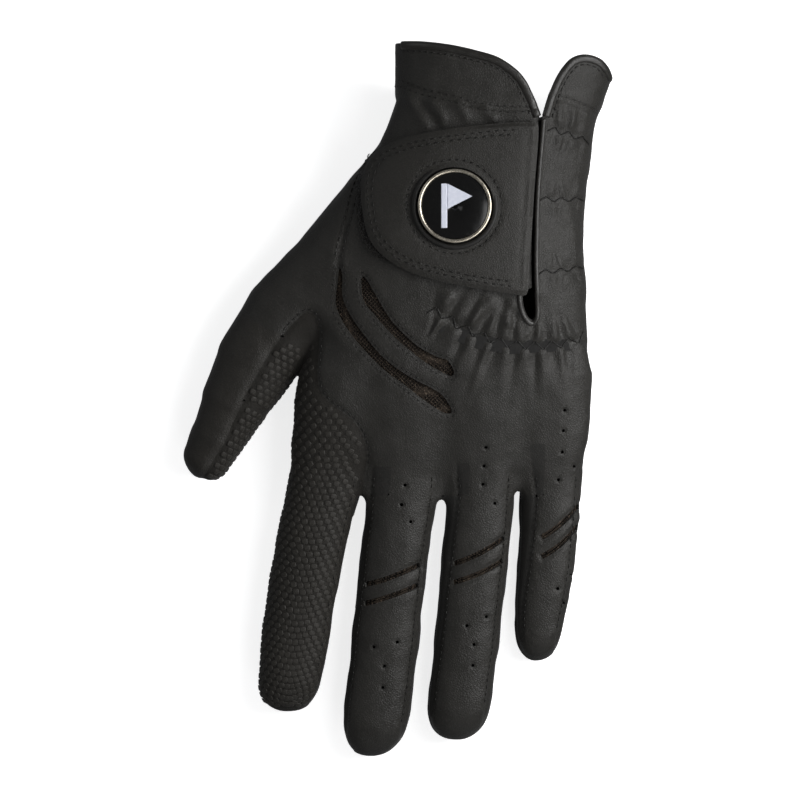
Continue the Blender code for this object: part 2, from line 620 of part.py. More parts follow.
def centre_of(finger, along, across=0.0):
    point = finger.point(across, along, 0.0)
    return (point.x, point.y)


def ends(fingers, stop):
    """Corners of the cut across each finger, a stop short of its middle joint, from +X to -X."""
    corners = []
    for finger in fingers:
        along = finger.bend - stop
        corners += [centre_of(finger, along, side * finger.reach(along)) for side in (-1, 1)]
    return corners


def finger_slot(shop, finger, half_length, width, distance):
    """The slanted, round-ended slot across a finger's back."""
    along = finger.bend + distance
    outline = []
    for side in (1, -1):
        for step in range(5):
            turn = math.radians(-90 + 45 * step)
            across = side * (half_length - width / 2 + width / 2 * math.cos(turn))
            rise = side * width / 2 * math.sin(turn)
            outline.append(centre_of(finger, along + rise + across * SLOT_SLANT, across))
    return shop.prism(outline, low=SIDE_HIGH)


def make_finger_tips(shop):
    """Each finger beyond its middle joint: back, palm side and the side strips between fingers."""
    for name, finger in FINGERS.items():
        end = finger.length + 3.0
        bend = finger.bend
        wide = finger.reach(bend)
        stuff = "grip" if name == "index" else "leather"
        holes = []
        if name in FINGER_SLOTS:
            half_length, width, distance = FINGER_SLOTS[name]
            holes.append(finger_slot(shop, finger, half_length, width, distance))
        keep = shop.box(finger, (-wide, wide), (bend + GAP / 2, end), (SIDE_HIGH + GAP / 2, ABOVE))
        shop.panel(f"{name}_back", "skin", stuff, keep, holes)
        sides = {"index": ("ulnar",), "little": ("radial",)}.get(name, ("ulnar", "radial"))
        spans = {"ulnar": (-wide, -GAP / 2), "radial": (GAP / 2, wide)}
        cut = [spans[side] for side in sides]
        palm_start = bend + wedge(BEND_Z, BEND_LIMIT)
        keep = shop.box(finger, (-wide, wide), (palm_start, end), (BELOW, SIDE_HIGH - GAP / 2))
        low, high = min(c[0] for c in cut), max(c[1] for c in cut)
        hole = shop.box(finger, (low, high), (bend, end), (SIDE_LOW - GAP / 2, SIDE_HIGH + 1))
        shop.panel(f"{name}_palm", "skin", stuff, keep, [hole])
        side_start = bend + wedge(BEND_Z - SIDE_LOW, BEND_LIMIT)
        for side in sides:
            low, high = spans[side]
            if len(sides) == 1:
                low, high = low + GAP * (side == "radial"), high - GAP * (side == "ulnar")
            keep = shop.box(finger, (low, high), (side_start, end), (SIDE_LOW + GAP / 2, SIDE_HIGH - GAP / 2))
            shop.panel(f"{name}_fourchette_{side}", "skin", "leather", keep)
    for name, (half_length, width, distance) in FINGER_SLOTS.items():
        finger = FINGERS[name]
        across, along = half_length + 0.6, distance + half_length * SLOT_SLANT + width
        keep = shop.box(finger, (-across, across), (finger.bend - along, finger.bend + along), (SIDE_HIGH - 1.0, ABOVE))
        shop.panel(f"{name}_flex_mesh", "lining", "mesh", keep)


def thumb_frame():
    """The thumb's own directions, from its fork with the hand, rolled so that up is its back."""
    frame = Finger("thumb", THUMB_FORK, THUMB_TIP, THUMB_BENDS[1], (11.0, 6.9), (10.0, 7.4))
    turn = Matrix.Rotation(THUMB_ROLL, 3, frame.along)
    frame.base.z = 8.0
    frame.across = turn @ frame.across
    frame.up = turn @ frame.up
    return frame


def make_thumb(shop):
    """The thumb beyond the hand, in two lengths, each with a plain back and a grip side."""
    frame = thumb_frame()
    split = 1.0
    wide = 13.0
    base_bend, tip_bend = THUMB_BENDS
    lengths = (
        ("thumb_base", base_bend, tip_bend, THUMB_LIMITS[0], THUMB_LIMITS[1]),
        ("thumb_tip", tip_bend, 60.0, THUMB_LIMITS[1], 0.0),
    )
    for name, start, end, start_limit, end_limit in lengths:
        stop = GAP / 2 if end_limit else 0.0
        keep = shop.box(frame, (-wide, wide), (start + GAP / 2, end - stop), (split + GAP / 2, wide))
        shop.panel(f"{name}_back", "skin", "leather", keep)
        stop = wedge(9.0, end_limit) if end_limit else 0.0
        keep = shop.box(frame, (-wide, wide), (start + wedge(9.0, start_limit), end - stop), (-wide, split - GAP / 2))
        shop.panel(f"{name}_grip", "skin", "grip", keep)


# The closure tab and the ball marker


def cylinder(shop, name, stuff, radius, low, high, hole=0.0, segments=40, bevel=0.0):
    """A round piece standing on the marker's axis, with an optional hole."""
    x, y = MARKER_CENTRE
    mesh = bmesh.new()
    bmesh.ops.create_cone(mesh, cap_ends=True, segments=segments, radius1=radius * MM, radius2=radius * MM, depth=(high - low) * MM)
    data = bpy.data.meshes.new(name)
    mesh.to_mesh(data)
    mesh.free()
    obj = object_from(name, data, shop.parts)
    obj.location = (x * MM, y * MM, (low + high) / 2 * MM)
    if hole:
        add_boolean(obj, as_cutter(round_cutter(shop, hole, low - 1, high + 1, segments)), "DIFFERENCE")
    if bevel:
        edge = obj.modifiers.new("bevel", "BEVEL")
        edge.width = bevel * MM
        edge.segments = 2
    shop.finish(obj, stuff)
    return obj


def round_cutter(shop, radius, low, high, segments=40):
    x, y = MARKER_CENTRE
    mesh = bmesh.new()
    bmesh.ops.create_cone(mesh, cap_ends=True, segments=segments, radius1=radius * MM, radius2=radius * MM, depth=(high - low) * MM)
    data = bpy.data.meshes.new("round_cutter")
    mesh.to_mesh(data)
    mesh.free()
    obj = object_from("round_cutter", data, shop.cutters)
    obj.location = (x * MM, y * MM, (low + high) / 2 * MM)
    return as_cutter(obj)


def make_tab(shop):
    """The closure tab with its hook patch, marker seat and magnet, and the marker that lifts out."""
    top = surface_height(*MARKER_CENTRE, TAB_LAYER[1])
    seat_floor = surface_height(*MARKER_CENTRE, TAB_LAYER[0]) + 0.2
    seat_hole = round_cutter(shop, SEAT_RADIUS + GAP, 20.0, ABOVE)
    shop.panel("closure_tab", "tab", "leather", shop.prism(TAB_OUTLINE, low=17.0, smooth=True), [seat_hole])
    hook = [(x * 0.86 - 0.6, 59.0 + (y - 59.0) * 0.84) for x, y in TAB_OUTLINE if x < 20.0]
    shop.panel("tab_hook_patch", "hook", "velcro", shop.prism(hook, low=17.0, smooth=True), [round_cutter(shop, SEAT_RADIUS + GAP, 20.0, ABOVE)])
    cylinder(shop, "marker_seat", "rubber", SEAT_RADIUS, seat_floor, top + 0.5, hole=MARKER_RADIUS + GAP, bevel=0.25)
    cylinder(shop, "seat_base", "rubber", MARKER_RADIUS, seat_floor, seat_floor + 0.7, hole=MAGNET_RADIUS + GAP)
    cylinder(shop, "seat_magnet", "metal", MAGNET_RADIUS, seat_floor, seat_floor + MAGNET_HEIGHT)
    floor = seat_floor + MAGNET_HEIGHT + GAP
    ring_top = floor + MARKER_HEIGHT
    cylinder(shop, "marker_bezel", "metal", MARKER_RADIUS - GAP / 2, floor, ring_top, hole=MARKER_RADIUS - 1.2, bevel=0.3)
    cylinder(shop, "marker_disc", "enamel", MARKER_RADIUS - 1.2 - GAP, floor, ring_top - 0.5)
    flag = [(-1.0, -6.6), (1.0, -6.6), (1.0, -1.2), (6.0, 2.6), (-1.0, 6.8)]
    x, y = MARKER_CENTRE
    low = ring_top - 0.5 + GAP
    emblem = prism([(x + a, y + b) for a, b in flag], low, low + 0.3, shop.parts)
    emblem.name = "marker_emblem"
    emblem.hide_render = False
    emblem.display_type = "TEXTURED"
    shop.finish(emblem, "emblem")


def main():
    clear_scene()
    shop = Shop()
    make_hand(shop)
    make_lining(shop)
    make_bindings(shop)
    make_knuckles(shop)
    make_finger_tips(shop)
    make_thumb(shop)
    make_tab(shop)


main()
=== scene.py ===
"""The looks of a left-hand golf glove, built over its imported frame.

One smooth hand-shaped surface is found from a distance-like field, wrinkled, and cut along pattern lines
into the glove's panels. Threads, piping, grip tiles, patches and the closure tab are laid over it. Lengths
here are in millimetres until a mesh is made, in the same frame as the CAD.
"""

import math

import bmesh
import bpy
import numpy as np
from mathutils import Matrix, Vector


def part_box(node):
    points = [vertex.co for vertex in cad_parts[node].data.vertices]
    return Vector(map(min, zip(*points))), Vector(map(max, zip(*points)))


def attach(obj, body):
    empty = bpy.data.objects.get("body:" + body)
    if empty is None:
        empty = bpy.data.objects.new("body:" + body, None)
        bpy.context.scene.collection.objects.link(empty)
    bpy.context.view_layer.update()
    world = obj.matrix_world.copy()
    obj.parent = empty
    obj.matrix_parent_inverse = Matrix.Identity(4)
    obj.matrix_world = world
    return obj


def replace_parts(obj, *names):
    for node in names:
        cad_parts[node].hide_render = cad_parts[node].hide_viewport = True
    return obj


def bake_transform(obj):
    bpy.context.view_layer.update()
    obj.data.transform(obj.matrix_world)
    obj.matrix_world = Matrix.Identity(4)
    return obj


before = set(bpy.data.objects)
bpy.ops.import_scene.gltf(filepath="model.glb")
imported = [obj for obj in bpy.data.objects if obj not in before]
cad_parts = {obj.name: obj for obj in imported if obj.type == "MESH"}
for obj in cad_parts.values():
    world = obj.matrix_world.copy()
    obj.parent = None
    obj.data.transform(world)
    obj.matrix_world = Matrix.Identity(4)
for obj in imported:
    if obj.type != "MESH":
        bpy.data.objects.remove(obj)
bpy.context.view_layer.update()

MM = 0.001
rng = np.random.default_rng(11)  # varies the grip tiles

# ---- helpers on points and lines


def smoothstep(x, a, b):
    t = np.clip((x - a) / (b - a), 0.0, 1.0)
    return t * t * (3 - 2 * t)


def table_at(rows, at):
    """Columns of a table of rows interpolated smoothly at positions in its first column."""
    rows = np.asarray(rows, float)
    rows = rows[np.argsort(rows[:, 0])]
    return [np.interp(at, rows[:, 0], rows[:, k]) for k in range(1, rows.shape[1])]


def curve_through(points, step=0.5):
    """A smooth curve through points, resampled evenly."""
    p = np.asarray(points, float)
    p = np.vstack([2 * p[0] - p[1], p, 2 * p[-1] - p[-2]])
    out = []
    for i in range(1, len(p) - 2):
        a, b, c, d = p[i - 1 : i + 3]
        t = np.linspace(0, 1, 24, endpoint=False)[:, None]
        out.append(
            0.5
            * (2 * b + (c - a) * t + (2 * a - 5 * b + 4 * c - d) * t**2 + (3 * b - a - 3 * c + d) * t**3)
        )
    out = np.vstack([*out, p[-2:-1]])
    return resample(out, step)


def run_along(path):
    """The distance along a path at each of its points."""
    return np.concatenate([[0], np.cumsum(np.linalg.norm(np.diff(path, axis=0), axis=1))])


def path_length(path):
    return float(np.sum(np.linalg.norm(np.diff(path, axis=0), axis=1)))


def resample(path, step, closed=False):
    p = np.asarray(path, float)
    if closed:
        p = np.vstack([p, p[:1]])
    run = run_along(p)
    count = max(2, int(round(run[-1] / step)) + 1)
    at = np.linspace(0, run[-1], count)
    out = np.stack([np.interp(at, run, p[:, k]) for k in range(p.shape[1])], 1)
    return out[:-1] if closed else out


def along_path(path, xy, closed=False):
    """(distance to a 2D path, side: 1 to the left of its direction, run along it) for every point."""
    p = np.asarray(path, float)
    if closed:
        p = np.vstack([p, p[:1]])
    best = np.full(len(xy), 1e9)
    side = np.ones(len(xy))
    along = np.zeros(len(xy))
    run = 0.0
    for a, b in zip(p[:-1], p[1:]):
        d = b - a
        length = math.hypot(*d)
        if length < 1e-9:
            continue
        rel = xy - a
        t = np.clip(rel @ d / length**2, 0, 1)
        off = rel - t[:, None] * d
        dist = np.hypot(off[:, 0], off[:, 1])
        nearer = dist < best - 1e-9
        best = np.where(nearer, dist, best)
        side = np.where(nearer, np.where(d[0] * rel[:, 1] - d[1] * rel[:, 0] >= 0, 1.0, -1.0), side)
        along = np.where(nearer, run + t * length, along)
        run += length
    return best, side, along


def inside_field(outline, xy):
    """Signed distance to a closed outline, negative inside."""
    p = np.asarray(outline, float)
    best = along_path(p, xy, closed=True)[0]
    q = np.roll(p, -1, axis=0)
    count = np.zeros(len(xy), int)
    for a, b in zip(p, q):
        crosses = (a[1] > xy[:, 1]) != (b[1] > xy[:, 1])
        if crosses.any():
            at = a[0] + (xy[:, 1] - a[1]) * (b[0] - a[0]) / (b[1] - a[1] if b[1] != a[1] else 1e-12)
            count += crosses & (xy[:, 0] < at)
    return np.where(count % 2 == 1, -best, best)


def unit(v):
    return v / (np.linalg.norm(v, axis=1)[:, None] + 1e-12)


def offset_path(path, distance):
    """A 2D path moved to its left."""
    p = np.asarray(path, float)
    t = unit(np.gradient(p, axis=0))
    return p + np.stack([-t[:, 1], t[:, 0]], 1) * distance


# ---- the hand-shaped field

# Fingers: rows of (y, left edge, right edge), the y of the tip, the length of the rounded end, and the
# thickness at fork and tip
FINGERS = {
    "index": {
        "rows": [
            (20, -27.0, -9.0), (8.2, -28.6, -9.5), (0.8, -29.9, -9.9), (-6.7, -31.0, -10.1),
            (-14.1, -32.2, -10.2), (-21.5, -33.6, -10.8), (-29, -35.0, -12.0), (-36.4, -36.6, -13.9),
            (-43.9, -38.1, -15.6), (-55, -40.0, -18.0), (-62.5, -41.2, -19.3), (-69.9, -42.2, -20.6),
            (-77.3, -43.0, -21.8), (-88.5, -43.8, -23.9), (-99, -44.2, -25.5)
        ],
        "tip": -97.6, "round": 11.5, "thick": (19.5, 15.5),
    },
    "middle": {
        "rows": [
            (20, -7.5, 13.0), (0, -8.8, 12.8), (-20, -9.8, 12.6), (-29, -10.2, 12.2), (-36.4, -10.6, 11.1),
            (-43.9, -11.5, 9.9), (-51.3, -12.4, 8.8), (-62.5, -13.6, 7.7), (-73.6, -14.9, 6.5),
            (-84.8, -16.1, 5.2), (-95.9, -17.4, 3.7), (-103.4, -17.9, 2.4), (-112, -18.2, 0.9)
        ],
        "tip": -111.2, "round": 12.0, "thick": (20.0, 15.8),
    },
    "ring": {
        "rows": [
            (20, 15.0, 36.5), (0, 15.0, 36.5), (-20, 15.0, 36.3), (-29, 14.9, 35.9), (-36.4, 14.4, 35.3),
            (-43.9, 13.6, 34.7), (-55, 12.7, 33.5), (-66.2, 11.8, 32.2), (-77.3, 10.8, 31.0),
            (-88.5, 9.5, 29.5), (-95.9, 8.8, 28.4), (-107, 8.2, 26.8)
        ],
        "tip": -106.1, "round": 11.5, "thick": (19.5, 15.4),
    },
    "little": {
        "rows": [
            (20, 39.0, 58.0), (0, 38.6, 57.8), (-17.8, 37.9, 57.4), (-29, 37.5, 56.7), (-40.1, 37.4, 56.0),
            (-51.3, 36.8, 54.8), (-62.5, 36.0, 53.0), (-69.9, 35.9, 51.5), (-77.3, 36.3, 49.8),
            (-83, 36.8, 48.6)
        ],
        "tip": -81.6, "round": 10.0, "thick": (17.5, 14.0),
    },
}
# The trunk of the hand: (y, left, right, thickness, height of the underside)
TRUNK = [
    (125, -1.0, 66.5, 30.5, 3.6), (108, -1.2, 66.2, 31.0, 3.2), (101.2, -1.2, 66.0, 31.4, 3.0), (
        97.5, -1.2, 65.2, 31.4, 2.8
    ), (93.8, -1.3, 63.9, 31.4, 2.6), (90.1, -2.2, 62.7, 31.6, 2.4),
    (86.3, -3.4, 61.0, 31.8, 2.1), (78.9, -6.2, 59.7, 31.8, 1.4), (71.5, -10.3, 59.0, 31.8, 0.7), (
        64, -14.8, 57.9, 31.8, 0.3
    ), (55, -18.4, 57.1, 31.4, 0.0), (45.4, -21.9, 57.1, 31.0, 0.0),
    (34.3, -25.0, 57.8, 30.2, 0.0), (23.1, -27.4, 58.1, 28.9, 0.0), (11.9, -29.0, 58.3, 27.2, 0.0), (
        0, -30.2, 57.8, 25.0, 0.0
    ), (-10, -30.6, 57.0, 22.6, 0.0), (-18, -30.6, 55.8, 20.4, 0.1), (-24, -30.4, 54.6, 18.6, 0.2),
]
TRUNK_END = -21.0
TRUNK = curve_through(sorted(TRUNK), 2.0)
# The thumb: (centre x, centre y, half width, half thickness, height of its centre)
THUMB = [
    (6.0, 70.0, 11.0, 9.5, 13.0), (-8.0, 54.5, 12.5, 10.5, 12.5), (-21.0, 40.5, 13.0, 10.6, 12.0),
    (-34.5, 26.0, 13.6, 10.4, 11.0), (-44.0, 11.5, 12.6, 9.9, 10.3), (-50.8, -1.0, 10.6, 9.2, 9.7),
    (-56.0, -11.5, 8.6, 8.4, 9.0), (-59.4, -18.0, 7.5, 7.6, 8.4)
]
FINGER_FLOOR = 0.2


def smooth_min(a, b, k):
    h = np.clip(0.5 + 0.5 * (b - a) / k, 0, 1)
    return b + (a - b) * h - k * h * (1 - h)


def finger_field(name, x, y, z):
    f = FINGERS[name]
    left, right = table_at(f["rows"], y)
    half = (right - left) / 2
    thick = np.interp(y, [f["tip"], -20.0, 10.0], [f["thick"][1], f["thick"][0], f["thick"][0] + 3.0]) / 2
    centre_z = thick + FINGER_FLOOR - 0.3
    cap = np.maximum(0.0, (f["tip"] + f["round"] - y)) / f["round"]
    sink = np.interp(y, [f["tip"], f["tip"] + 9.0], [1.6, 0.0])  # the nail end droops a little
    u, w = np.abs((x - (left + right) / 2) / half), np.abs((z - centre_z + sink * 0.4) / (thick - sink * 0.5))
    body = (u**2.35 + w**2.35 + cap**2.5) ** (1 / 2.35)
    inner = np.maximum(0.0, y - 8.0) * 0.6  # fades out inside the hand
    return (body - 1) * np.minimum(half, thick) * 1.02 + inner


def trunk_field(x, y, z):
    left, right, thick, under = table_at(TRUNK, y)
    half, centre_z = (right - left) / 2, under + thick / 2 - 0.5
    u = (x - (left + right) / 2) / half
    body = (np.abs(u) ** 2.5 + np.abs((z - centre_z) / (thick / 2)) ** 2.5) ** (1 / 2.5)
    past = np.maximum(0.0, TRUNK_END + 8.0 - y)
    end = past**2 / (past + 16.0) * (1.0 - 0.5 * smoothstep(z, 9.0, 16.0))
    return (body - 1) * np.minimum(half, thick / 2) * 0.95 + end


def thumb_field(x, y, z):
    t = np.asarray(THUMB)
    best = np.full(x.shape, 1e9)
    for a, b in zip(t[:-1], t[1:]):
        d = b[:2] - a[:2]
        length = math.hypot(*d)
        raw = ((x - a[0]) * d[0] + (y - a[1]) * d[1]) / length**2
        s = np.clip(raw, 0, 1)
        row = [a[k] + (b[k] - a[k]) * s for k in range(5)]
        flat = np.hypot(x - row[0], y - row[1])
        body = (np.abs(flat / row[2]) ** 2.2 + np.abs((z - row[4]) / row[3]) ** 2.2) ** (1 / 2.2)
        best = np.minimum(best, (body - 1) * np.minimum(row[2], row[3]))
    return best


def past_thumb(p):
    """Negative where a place belongs to the thumb, and not to the rest of the hand."""
    return thumb_field(*p.T) - np.minimum(trunk_field(*p.T), finger_field("index", *p.T))


def field(x, y, z):
    """Negative inside the hand, in roughly millimetres."""
    f = trunk_field(x, y, z)
    f = smooth_min(f, thumb_field(x, y, z), 1.2 + 5.0 * smoothstep(y, 13.0, 34.0))
    for name in FINGERS:
        f = smooth_min(f, finger_field(name, x, y, z), 2.4 + 4.0 * smoothstep(z, 9.0, 18.0))
    return np.maximum(f, 0.1 - z)  # lies flat


def gradient(p, step=0.25):
    g = np.empty_like(p)
    for k in range(3):
        d = np.zeros(3)
        d[k] = step
        a, b = p + d, p - d
        g[:, k] = field(a[:, 0], a[:, 1], a[:, 2]) - field(b[:, 0], b[:, 1], b[:, 2])
    return g / (2 * step)


def surface_mesh(step):
    """The field's zero surface as (points, quads), by the surface-nets method."""
    xs = np.arange(-70, 71.5, step)
    ys = np.arange(-115, 117, step)
    zs = np.arange(-2, 38, step)
    gx, gy, gz = np.meshgrid(xs, ys, zs, indexing="ij")
    v = field(gx.ravel(), gy.ravel(), gz.ravel()).reshape(gx.shape)
    sign = v < 0
    total = np.zeros([n - 1 for n in v.shape] + [3])
    hits = np.zeros([n - 1 for n in v.shape])
    for axis in range(3):
        a = np.take(v, range(v.shape[axis] - 1), axis)
        b = np.take(v, range(1, v.shape[axis]), axis)
        cross = (a < 0) != (b < 0)
        t = np.where(cross, a / np.where(cross, a - b, 1.0), 0.0)
        others = [k for k in range(3) if k != axis]
        for i in (0, 1):
            for j in (0, 1):
                cut = [slice(None)] * 3
                cut[others[0]] = slice(i, v.shape[others[0]] - 1 + i)
                cut[others[1]] = slice(j, v.shape[others[1]] - 1 + j)
                c, tt = cross[tuple(cut)], t[tuple(cut)]
                hits += c
                offset = [0.0, 0.0, 0.0]
                offset[others[0]], offset[others[1]] = i, j
                for k in range(3):
                    total[..., k] += np.where(c, tt if k == axis else offset[k], 0.0)
    cell = hits > 0
    index = np.full(cell.shape, -1)
    index[cell] = np.arange(cell.sum())
    ijk = np.argwhere(cell)
    points = (ijk + total[cell] / hits[cell][:, None]) * step + np.array([xs[0], ys[0], zs[0]])
    quads = []
    for axis in range(3):
        a = np.take(sign, range(v.shape[axis] - 1), axis)
        b = np.take(sign, range(1, v.shape[axis]), axis)
        at = np.argwhere(a != b)
        o1, o2 = [(1, 2), (2, 0), (0, 1)][axis]
        keep = (at[:, o1] > 0) & (at[:, o2] > 0) & (at[:, o1] < v.shape[o1] - 1) & (
            at[:, o2] < v.shape[o2] - 1
        )
        at = at[keep]
        flip = a[tuple(at.T)]
        corners = []
        for di, dj in ((0, 0), (1, 0), (1, 1), (0, 1)):
            c = at.copy()
            c[:, o1] -= 1 - di
            c[:, o2] -= 1 - dj
            corners.append(index[tuple(c.T)])
        q = np.stack(corners, 1)
        q[~flip] = q[~flip][:, ::-1]
        quads.append(q)
    return points, np.vstack(quads)


def settle(points, rounds=4):
    for _ in range(rounds):
        g = gradient(points)
        f = field(points[:, 0], points[:, 1], points[:, 2])
        points = points - g * np.clip(f / (np.sum(g * g, 1) + 1e-9), -0.6, 0.6)[:, None]
    return points


def shoot(origins, directions, reach=40.0):
    """Where rays that start inside the hand come out of it."""
    o, d = np.asarray(origins, float), np.asarray(directions, float)
    d = d / np.linalg.norm(d, axis=1)[:, None]
    low = np.zeros(len(o))
    high = np.full(len(o), reach)
    found = np.zeros(len(o), bool)
    for t in np.arange(0.8, reach, 0.8):
        p = o + d * t
        out = field(p[:, 0], p[:, 1], p[:, 2]) > 0
        high = np.where(out & ~found, t, high)
        low = np.where(~out & ~found, t, low)
        found |= out
        if found.all():
            break
    for _ in range(14):
        mid = (low + high) / 2
        p = o + d * mid[:, None]
        out = field(p[:, 0], p[:, 1], p[:, 2]) > 0
        high, low = np.where(out, mid, high), np.where(out, low, mid)
    p = o + d * low[:, None]
    g = gradient(p)
    return p, unit(g)


def plain_back(xy, lift=0.0):
    """(points, normals) on the back of the plain form over places in the plane, lifted along the normals."""
    xy = np.asarray(xy, float)
    inside_z = np.interp(xy[:, 1], [-112, -30, -10, 40, 120], [7.0, 8.0, 10.0, 14.0, 18.0])
    p, n = shoot(np.column_stack([xy, inside_z]), np.tile([0.0, 0.0, 1.0], (len(xy), 1)))
    return p + n * lift, n


def on_back(xy, lift=0.0):
    """The same on the back of the wrinkled hand."""
    p, n = plain_back(xy)
    return p + n * (relief(p, n) + lift)[:, None], n


# ---- pattern lines on the back

CUFF = [
    (0.9, 109.1), (8.0, 108.6), (16.2, 107.4), (23.5, 105.7), (29.9, 103.7), (35.2, 100.2), (38.2, 96.8),
    (40.0, 93.3), (41.6, 89.8), (42.9, 86.3)
]
FLAP = [
    (44.1, 86.3), (45.2, 90.0), (46.5, 93.5), (48.1, 97.1), (50.2, 100.6), (53.1, 103.6), (57.0, 104.7),
    (61.4, 103.7), (64.4, 100.9), (65.6, 98.4)
]
PALM_CUFF = [
    (-1.5, 105.0), (6.0, 99.5), (14.0, 94.0), (24.0, 89.0), (34.0, 86.0), (44.0, 87.0), (54.0, 91.5),
    (62.0, 96.0), (66.5, 98.4)
]
SLIT = curve_through(
    [(43.5, 92.0), (43.2, 84.0), (42.3, 72.0), (41.5, 61.0), (41.2, 49.0), (41.2, 38.0), (41.3, 33.0)]
)
TEARDROP = curve_through(
    [
        (41.0, 34.0), (38.8, 33.0), (37.9, 31.0), (38.3, 28.0), (39.4, 25.4), (40.7, 24.0), (41.7, 24.9),
        (41.8, 27.8), (41.5, 31.2), (41.0, 34.0)
    ],
    0.4
)[:-1]
SEAM_LEFT = curve_through(
    [
        (-2.0, 92.0), (-6.6, 79.0), (-13.4, 65.3), (-15.4, 57.0), (-17.7, 47.5), (-19.2, 38.0),
        (-19.6, 30.0), (-18.4, 25.0), (-15.2, 20.2), (-8.7, 12.6), (-0.4, 5.8), (7.3, -0.2), (13.0, -3.9),
        (18.0, -6.4)
    ]
)
SLOT_B = curve_through(
    [
        (-18.4, 41.0), (-19.7, 32.0), (-19.2, 27.2), (-15.4, 20.3), (-8.8, 12.6), (-3.9, 8.0), (1.6, 4.0),
        (7.3, -0.3), (12.6, -3.9), (15.2, -4.9), (16.3, -3.9), (13.7, 0.5), (10.2, 3.0), (4.6, 5.8),
        (-0.5, 9.1), (-6.4, 14.1), (-13.9, 23.8), (-17.4, 31.0), (-17.5, 38.0), (-18.4, 41.0)
    ],
    0.4
)[:-1]
SLOT_A = curve_through(
    [
        (-11.9, 37.6), (-11.2, 30.4), (-6.9, 24.6), (-1.2, 18.4), (3.8, 14.2), (8.1, 10.9), (13.0, 8.0),
        (15.9, 6.7), (16.9, 8.0), (15.0, 11.6), (12.0, 12.6), (6.6, 15.4), (1.6, 19.6), (-3.0, 24.7),
        (-7.6, 32.4), (-10.4, 37.0), (-11.9, 37.6)
    ],
    0.4
)[:-1]
GRIP = curve_through(
    [
        (-62.5, -28.0), (-59.6, -23.1), (-57.4, -19.2), (-53.9, -13.8), (-51.4, -8.1), (-49.0, -3.0),
        (-45.4, 4.3), (-40.6, 12.5), (-36.2, 18.9), (-31.4, 24.2), (-28.5, 26.4), (-26.0, 25.3),
        (-24.8, 21.2), (-24.9, 16.2), (-25.3, 9.7), (-25.2, 5.2), (-23.9, 1.5), (-21.1, -1.6),
        (-16.4, -5.1), (-13.4, -7.8), (-11.4, -11.2), (-10.4, -14.7), (-9.9, -18.1), (-10.4, -21.5),
        (-11.0, -27.0)
    ]
)
GRIP_AREA = np.vstack([GRIP, [(-11.8, -40.0), (-25.0, -45.0), (-62.0, -45.0)]])
TAB = curve_through(
    [
        (42.2, 83.0), (41.0, 84.4), (32.1, 84.2), (23.3, 83.3), (14.9, 82.2), (5.4, 80.3), (-0.6, 78.2),
        (-5.9, 75.0), (-9.5, 69.4), (-10.6, 63.2), (-10.2, 55.5), (-8.8, 49.3), (-6.0, 45.1), (-1.3, 41.2),
        (4.8, 38.2), (12.6, 36.0), (22.8, 33.9), (33.1, 32.4), (37.6, 31.6), (38.9, 32.6), (39.2, 36.0),
        (40.0, 50.0), (40.9, 64.0), (42.0, 78.0), (42.2, 83.0)
    ],
    0.5
)[:-1]
LOOP = curve_through(
    [
        (20.0, 81.0), (5.0, 79.6), (-2.4, 78.0), (-8.4, 74.0), (-12.1, 67.5), (-12.7, 60.0), (-12.0, 53.0),
        (-10.0, 46.6), (-6.0, 43.0), (2.0, 41.0), (20.0, 38.0), (20.0, 81.0)
    ],
    0.5
)[:-1]
MARKER = np.array([17.0, 58.7])
ROWS = [
    ([(45.4, 82.6), (51.5, 81.0), (58.6, 78.8)], 4.4, 0.9),
    ([(42.9, 61.3), (49.5, 60.9), (57.0, 61.4)], 4.4, 0.7),
    ([(42.6, 38.7), (49.5, 39.2), (57.0, 40.6)], 4.4, 0.7),
    (
        [
            (8.6, 27.3), (13.0, 26.0), (17.7, 22.6), (22.3, 20.4), (28.2, 18.2), (33.5, 16.8), (39.0, 16.3),
            (44.6, 16.2), (49.6, 16.8), (53.6, 17.6), (57.4, 19.6)
        ],
        5.4, 1.3
    ),
]
ROW_PATHS = [curve_through(points, 0.5) for points, _, _ in ROWS]
CUFF_SEAM = curve_through(
    [(-1.0, 97.2), (3.0, 95.6), (7.8, 93.7), (17.3, 91.3), (23.3, 89.5), (32.7, 88.3), (41.6, 88.6)]
)
FLAP_SEAM = curve_through([(45.8, 92.6), (49.5, 91.6), (55.5, 89.8), (62.4, 86.9)])

FINGER_SLOTS = {
    "middle": [
        [(-10.9, -57.5), (-5.0, -56.1), (1.0, -53.9), (6.7, -51.5)],
        [(-11.1, -63.5), (-5.0, -61.9), (1.0, -59.8), (6.3, -57.7)]
    ],
    "ring": [
        [(16.4, -51.1), (21.5, -49.4), (27.5, -46.5), (32.9, -43.2)],
        [(16.4, -56.9), (21.5, -55.4), (27.5, -52.9), (32.4, -50.3)]
    ],
    "little": [
        [(44.0, -43.1), (48.5, -40.2), (52.5, -36.8), (56.6, -33.2)],
        [(44.0, -49.1), (48.5, -46.4), (52.5, -43.1), (56.2, -39.6)]
    ],
}
PUNCHED = {
    "middle": [
        (1.9, -26.8), (0.8, -32.8), (3.7, -38.1), (-0.5, -75.3), (-7.8, -76.8), (-4.5, -82.8), (-5.0, -89.4)
    ],
    "ring": [
        (26.8, -15.2), (26.2, -20.9), (25.9, -26.6), (29.7, -32.4), (27.1, -67.5), (21.0, -70.3),
        (23.2, -76.1), (22.9, -82.6)
    ],
    "little": [
        (51.1, -3.7), (50.7, -10.0), (50.4, -16.6), (54.3, -21.1), (49.3, -25.2), (53.7, -54.9),
        (49.2, -58.9), (51.4, -63.5)
    ],
}
